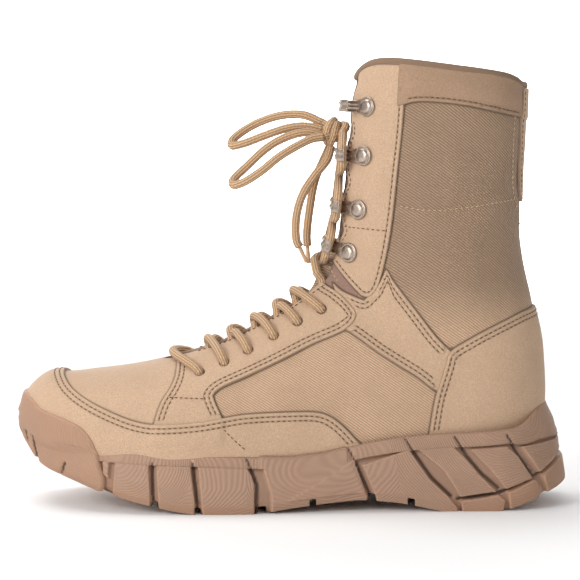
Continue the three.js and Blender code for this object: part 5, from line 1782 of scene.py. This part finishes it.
class BOOT_OT_tread(bpy.types.Operator):
    """Moulds the tread: its wall, underside, heel cleats and the toe bumper"""

    bl_idname = "boot.tread"
    bl_label = "Tread"

    def side_wall(self, tread):
        """The side wall, open where the grooves run out."""
        stand = sizes().block / MM
        net, out = wall_net(floor_at, split_at, np.linspace(0, 1, 12))
        cleats = blocks_distance(net, HEEL_BLOCKS)
        blocks = blocks_distance(net, SIDE_BLOCKS[:-3])
        both = np.clip(np.maximum(cleats, blocks), -9, 9)
        groove = groove_distance(net[..., 0], net[..., 1])
        groove = np.where(net[..., 0] > LAST_RUN_OUT, -9, groove)
        depth = net[..., 2] - floor_at(net[..., 0])
        gap = np.maximum(-groove, depth - LUG_DEPTH * 0.8)
        slits = np.where(both > 0.0, 9.0, slit_distance(net, SLITS))
        piece = Sheet(net, levelled(out, 0.2), both, gap=gap, slit=slits, swell=heel_swell(net))
        piece.weld()
        for level in BLOCK_EDGE:
            piece.score(level)
        piece.trim(0.0, "gap")
        edge, slit, swell = (piece.layers[name] for name in ("edge", "slit", "swell"))
        piece.raise_by(lambda v: wall_height(v[edge], v[slit], stand) + v[swell])
        wall = finished("tread_wall", piece.bm, [FINISHES["midsole"], tread], "tread")
        # The tread's own rubber shows on the wall at both ends; the midsole's hides it in the middle.
        for face in wall.data.polygons:
            middle = face.center / MM
            own = middle.x < -0.05 * SOLE_LENGTH or middle.x > 0.29 * SOLE_LENGTH
            face.material_index = 1 if own else 0
        return wall

    def underside(self, tread):
        """The underside with its grooves, from below."""
        share, across = np.meshgrid(np.linspace(0.0005, 0.9995, 260), np.linspace(-1, 1, 91), indexing="ij")
        share = (1 - np.cos(np.pi * share)) / 2
        x, y_out = plan_point(share, -1, 1.6)
        _, y_in = plan_point(share, 1, 1.6)
        y = (y_out + y_in) / 2 + (y_in - y_out) / 2 * across
        points = np.stack([x, y, floor_at((share - 0.5) * SOLE_LENGTH)], axis=-1)
        under = np.where(x > LAST_GROOVE, -9, groove_distance(x, y))
        piece = Sheet(points, straight_up(points), under, slit=np.full(x.shape, 9.0))
        for level in (0.0, 0.5):
            piece.score(level)
        edge = piece.layers["edge"]
        piece.raise_by(lambda v: float(np.interp(v[edge], (0.0, 0.5), (0.0, LUG_DEPTH))))
        # Lug faces get 9 for their ribs; grooves get -2, which the tread's finish paints darker as shade.
        for vert in piece.bm.verts:
            vert[edge] = 9.0 if vert[edge] < 0 else -2.0
        bmesh.ops.recalc_face_normals(piece.bm, faces=piece.bm.faces)
        if sum(f.normal.z * f.calc_area() for f in piece.bm.faces) > 0:
            bmesh.ops.reverse_faces(piece.bm, faces=piece.bm.faces)
        finished("tread_underside", piece.bm, [tread], "tread")

    def bumper(self, tread):
        """The toe bumper, over the wall and the toe leather."""
        net, out = wall_net(floor_at, lambda x: rim_at(x) + BUMPER_RISE * SOLE_HEIGHT, np.linspace(0, 1, 44))
        cover = over_surface(net, inside_distance(net[..., 0], net[..., 2], drawn_outline(BUMPER)))
        # Round the front the slits turn away from the side view that they are drawn in.
        slits = slit_distance(net, BUMPER_SLITS) / np.clip(np.abs(out[..., 1]) * 1.9, 0.15, 1.0)
        piece = Sheet(net, out, cover, slit=slits, clear=clear_of_leather(net, out, cover))
        piece.weld()
        piece.trim(0.0)
        for level in BUMPER_EDGE[1:]:
            piece.score(level)
        piece.score(0.55, "slit")
        edge, slit, clear = (piece.layers[name] for name in ("edge", "slit", "clear"))
        piece.raise_by(lambda v: max(
            float(np.interp(v[edge], BUMPER_EDGE, (-1.6, 1.1, 1.9, BUMPER_STAND + 0.5))),
            v[clear] + float(np.interp(v[edge], BUMPER_EDGE, (-1.2, 0.5, 1.0, 1.3))))
            - float(np.interp(v[slit], (0.3, 0.56, 0.9), (1.5, 1.2, 0.0))))
        finished("toe_bumper", piece.bm, [tread], "tread")

    def execute(self, context):
        mix_finishes()
        tread = FINISHES["tread"]
        wall = self.side_wall(tread)
        self.underside(tread)
        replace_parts(wall, "outsole")
        self.bumper(tread)
        return {"FINISHED"}


# ---------------------------------------------------------------------------
# Hooks
# ---------------------------------------------------------------------------

# The rivet's radius and height, from its crown to the foot of its flange.
RIVET_PROFILE = [
    (0.0, 2.2), (1.6, 2.17), (2.8, 2.05), (3.5, 1.75), (3.9, 1.3), (4.0, 0.85), (4.3, 0.72), (4.8, 0.9), (5.2, 0.85),
    (5.45, 0.5), (5.45, 0.0),
]
ARM_COLUMNS = 13


class BOOT_OT_hooks(bpy.types.Operator):
    """Makes the eight speed hooks with their domed rivets"""

    bl_idname = "boot.hooks"
    bl_label = "Speed hooks"

    def arm(self, bm):
        """The folded arm: a strip bent along its profile, with two pressed ridges."""
        bend, inner = HOOK_PLATE + CHANNEL / 2, CHANNEL / 2
        fold_x = HOOK_LENGTH - bend
        middle = (bend + inner) / 2
        turn = np.linspace(-np.pi / 2, np.pi / 2, 15)
        profile = [[2.0, HOOK_PLATE / 2], [5.0, HOOK_PLATE / 2], [7.0, HOOK_PLATE / 2], [fold_x - 1, HOOK_PLATE / 2]]
        profile += [[fold_x + math.cos(a) * middle, bend + math.sin(a) * middle] for a in turn]
        end = HOOK_LENGTH - HOOK_LIP - bend / 2
        profile += [[end + 1.2, 2 * bend - HOOK_PLATE / 2], [end, 2 * bend - HOOK_PLATE / 2 + 0.5]]
        line = evened(np.array(profile, float), 0.7)[0]
        way = unit(np.gradient(line, axis=0))
        out = np.stack([-way[:, 1], way[:, 0]], axis=1)
        count = len(line)
        width = np.interp(np.arange(count), [0, 4, 8, 10, count - 2, count - 1], [4.3, 4.2, 3.1, 3.3, 3.3, 3.0])
        made = bmesh.ops.create_grid(bm, x_segments=ARM_COLUMNS - 1, y_segments=count - 1, size=1)["verts"]
        for k, vert in enumerate(made):
            i, j = divmod(k, ARM_COLUMNS)
            side = j / (ARM_COLUMNS - 1) * 2 - 1
            depth = float(np.interp(i, [2, 7], [0, 1]))
            ridge = -0.42 * math.exp(-((abs(side) - 0.5) / 0.17) ** 2) * depth
            flute = 0.35 * math.exp(-(side / 0.2) ** 2) * depth
            lift = ridge + flute
            vert.co = (line[i, 0] + out[i, 0] * lift, side * width[i], line[i, 1] + out[i, 1] * lift)
        faces = list({f for v in made for f in v.link_faces})
        bmesh.ops.solidify(bm, geom=faces, thickness=HOOK_PLATE * 0.85)

    def rivet(self, bm):
        """The flange and dome, spun round the rivet's axis."""
        verts = [bm.verts.new((x, 0, z)) for x, z in RIVET_PROFILE]
        edges = [bm.edges.new(pair) for pair in zip(verts, verts[1:])]
        bmesh.ops.spin(bm, geom=verts + edges, cent=(0, 0, 0), axis=(0, 0, 1), angle=2 * math.pi, steps=28,
                       use_merge=True)
        bmesh.ops.remove_doubles(bm, verts=bm.verts, dist=1e-4)

    def execute(self, context):
        mix_finishes()
        for sign, word in ((-1, "lateral"), (1, "medial")):
            for k, place in enumerate(RIVETS):
                bm = bmesh.new()
                self.arm(bm)
                self.rivet(bm)
                bmesh.ops.transform(bm, matrix=placed(*hook_frame(place, sign)), verts=bm.verts)
                bmesh.ops.recalc_face_normals(bm, faces=bm.faces)
                hook = finished("hook_%s_%d" % (word, k + 1), bm, [FINISHES["metal"]], "metal")
                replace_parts(hook, "lace_hook_%s_%d" % (word, k + 1))
        return {"FINISHED"}


# ---------------------------------------------------------------------------
# Stage and camera
# ---------------------------------------------------------------------------

# The camera, in metres: its distance from the boot's middle, its height and the height it aims at;
# and half the photo's width and its focal length, in pixels.
CAMERA_GAP, CAMERA_UP, AIM_UP = 1.4, 0.22, 0.1178
PHOTO_HALF, PHOTO_FOCAL = 290, 2511
# The floor, in metres: its front edge, where it bends up into the backdrop, the bend's radius, and
# half its width and whole run.
FLOOR_FRONT, FLOOR_FLAT, FLOOR_BEND, FLOOR_HALF, FLOOR_RUN = 3.5, 2.5, 1.2, 4, 9
# Lamps: name, place, target, size and watts.
LAMPS = [
    ("key", (-0.95, -1.0, 0.62), (0, 0, 0.1), 0.6, 12.5),
    ("fill", (0.3, -1.9, 0.9), (0, 0, 0.1), 1.0, 6),
    ("top", (-0.5, 0.3, 1.5), (0, 0, 0.05), 0.9, 11),
    ("backdrop", (0.0, 2.2, 2.6), (0, 5.5, 0.9), 3.0, 320),
]
SKY = 0.42


class BOOT_OT_stage(bpy.types.Operator):
    """Sets the camera at the photo's angle, the pale floor and the soft lights"""

    bl_idname = "boot.stage"
    bl_label = "Stage"

    def lamp(self, name, place, target, size, power):
        """A soft area light."""
        data = bpy.data.lights.new(name, "AREA")
        data.shape, data.size, data.energy = "SQUARE", size, power
        light = bpy.data.objects.new(name, data)
        light.location = place
        light.rotation_euler = (Vector(target) - Vector(place)).to_track_quat("-Z", "Y").to_euler()
        bpy.context.scene.collection.objects.link(light)

    def execute(self, context):
        mix_finishes()
        scene = bpy.context.scene
        data = bpy.data.cameras.new("photo_camera")
        data.angle = 2 * math.atan(PHOTO_HALF / PHOTO_FOCAL)
        data.clip_end = 30
        camera = bpy.data.objects.new("photo_camera", data)
        camera.location = (0.0, -CAMERA_GAP, CAMERA_UP)
        camera.rotation_euler = (math.radians(90) - math.atan2(CAMERA_UP - AIM_UP, CAMERA_GAP), 0, 0)
        scene.collection.objects.link(camera)
        scene.camera = camera
        scene.view_settings.view_transform = "Standard"
        bm = bmesh.new()
        made = bmesh.ops.create_grid(bm, x_segments=8, y_segments=48, size=1)["verts"]
        for vert in made:
            x, t = vert.co.x * FLOOR_HALF, (vert.co.y + 1) / 2
            reach = t * FLOOR_RUN - FLOOR_FRONT
            bend = max(0.0, reach - FLOOR_FLAT)
            angle = min(bend / FLOOR_BEND, math.pi / 2)
            y = min(reach, FLOOR_FLAT) + FLOOR_BEND * math.sin(angle)
            z = FLOOR_BEND * (1 - math.cos(angle)) + max(0.0, bend - FLOOR_BEND * math.pi / 2)
            vert.co = (x, y, z)
        floor = finished("studio_floor", bm, [FINISHES["floor"]], "leather", scale=1.0)
        floor.parent = None
        del floor["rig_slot"]
        world = bpy.data.worlds.new("studio")
        scene.world = world
        world.use_nodes = True
        sky = world.node_tree.nodes["Background"].inputs
        sky["Color"].default_value, sky["Strength"].default_value = (1, 1, 1, 1), SKY
        for lamp in LAMPS:
            self.lamp(*lamp)
        return {"FINISHED"}


OPERATORS = (
    BOOT_OT_stage, BOOT_OT_lace, BOOT_OT_upper, BOOT_OT_panels, BOOT_OT_stitches, BOOT_OT_inside, BOOT_OT_midsole,
    BOOT_OT_tread, BOOT_OT_hooks,
)


class BOOT_PT_panel(bpy.types.Panel):
    """Buttons for the boot's pieces"""

    bl_idname = "BOOT_PT_panel"
    bl_label = "Combat boot"
    bl_space_type = "VIEW_3D"
    bl_region_type = "UI"
    bl_category = "Boot"

    def draw(self, context):
        for operator in OPERATORS:
            self.layout.operator(operator.bl_idname)
        for group in (context.scene.boot_sizes, context.scene.boot_colours):
            box = self.layout.box()
            for key in group.bl_rna.properties.keys():
                if key not in ("rna_type", "name"):
                    box.prop(group, key)


CLASSES = (BOOT_PG_colours, BOOT_PG_sizes, *OPERATORS, BOOT_PT_panel)


def register():
    """Adds the classes and settings."""
    for cls in CLASSES:
        bpy.utils.register_class(cls)
    bpy.types.Scene.boot_colours = bpy.props.PointerProperty(type=BOOT_PG_colours)
    bpy.types.Scene.boot_sizes = bpy.props.PointerProperty(type=BOOT_PG_sizes)


def unregister():
    """Removes the classes and settings."""
    del bpy.types.Scene.boot_colours, bpy.types.Scene.boot_sizes
    for cls in reversed(CLASSES):
        bpy.utils.unregister_class(cls)


def main():
    """Builds the boot."""
    register()
    bpy.ops.boot.stage()
    bpy.ops.boot.lace()
    bpy.ops.boot.upper()
    bpy.ops.boot.panels()
    bpy.ops.boot.stitches()
    bpy.ops.boot.inside()
    bpy.ops.boot.midsole()
    bpy.ops.boot.tread()
    bpy.ops.boot.hooks()


if __name__ == "__main__":
    main()
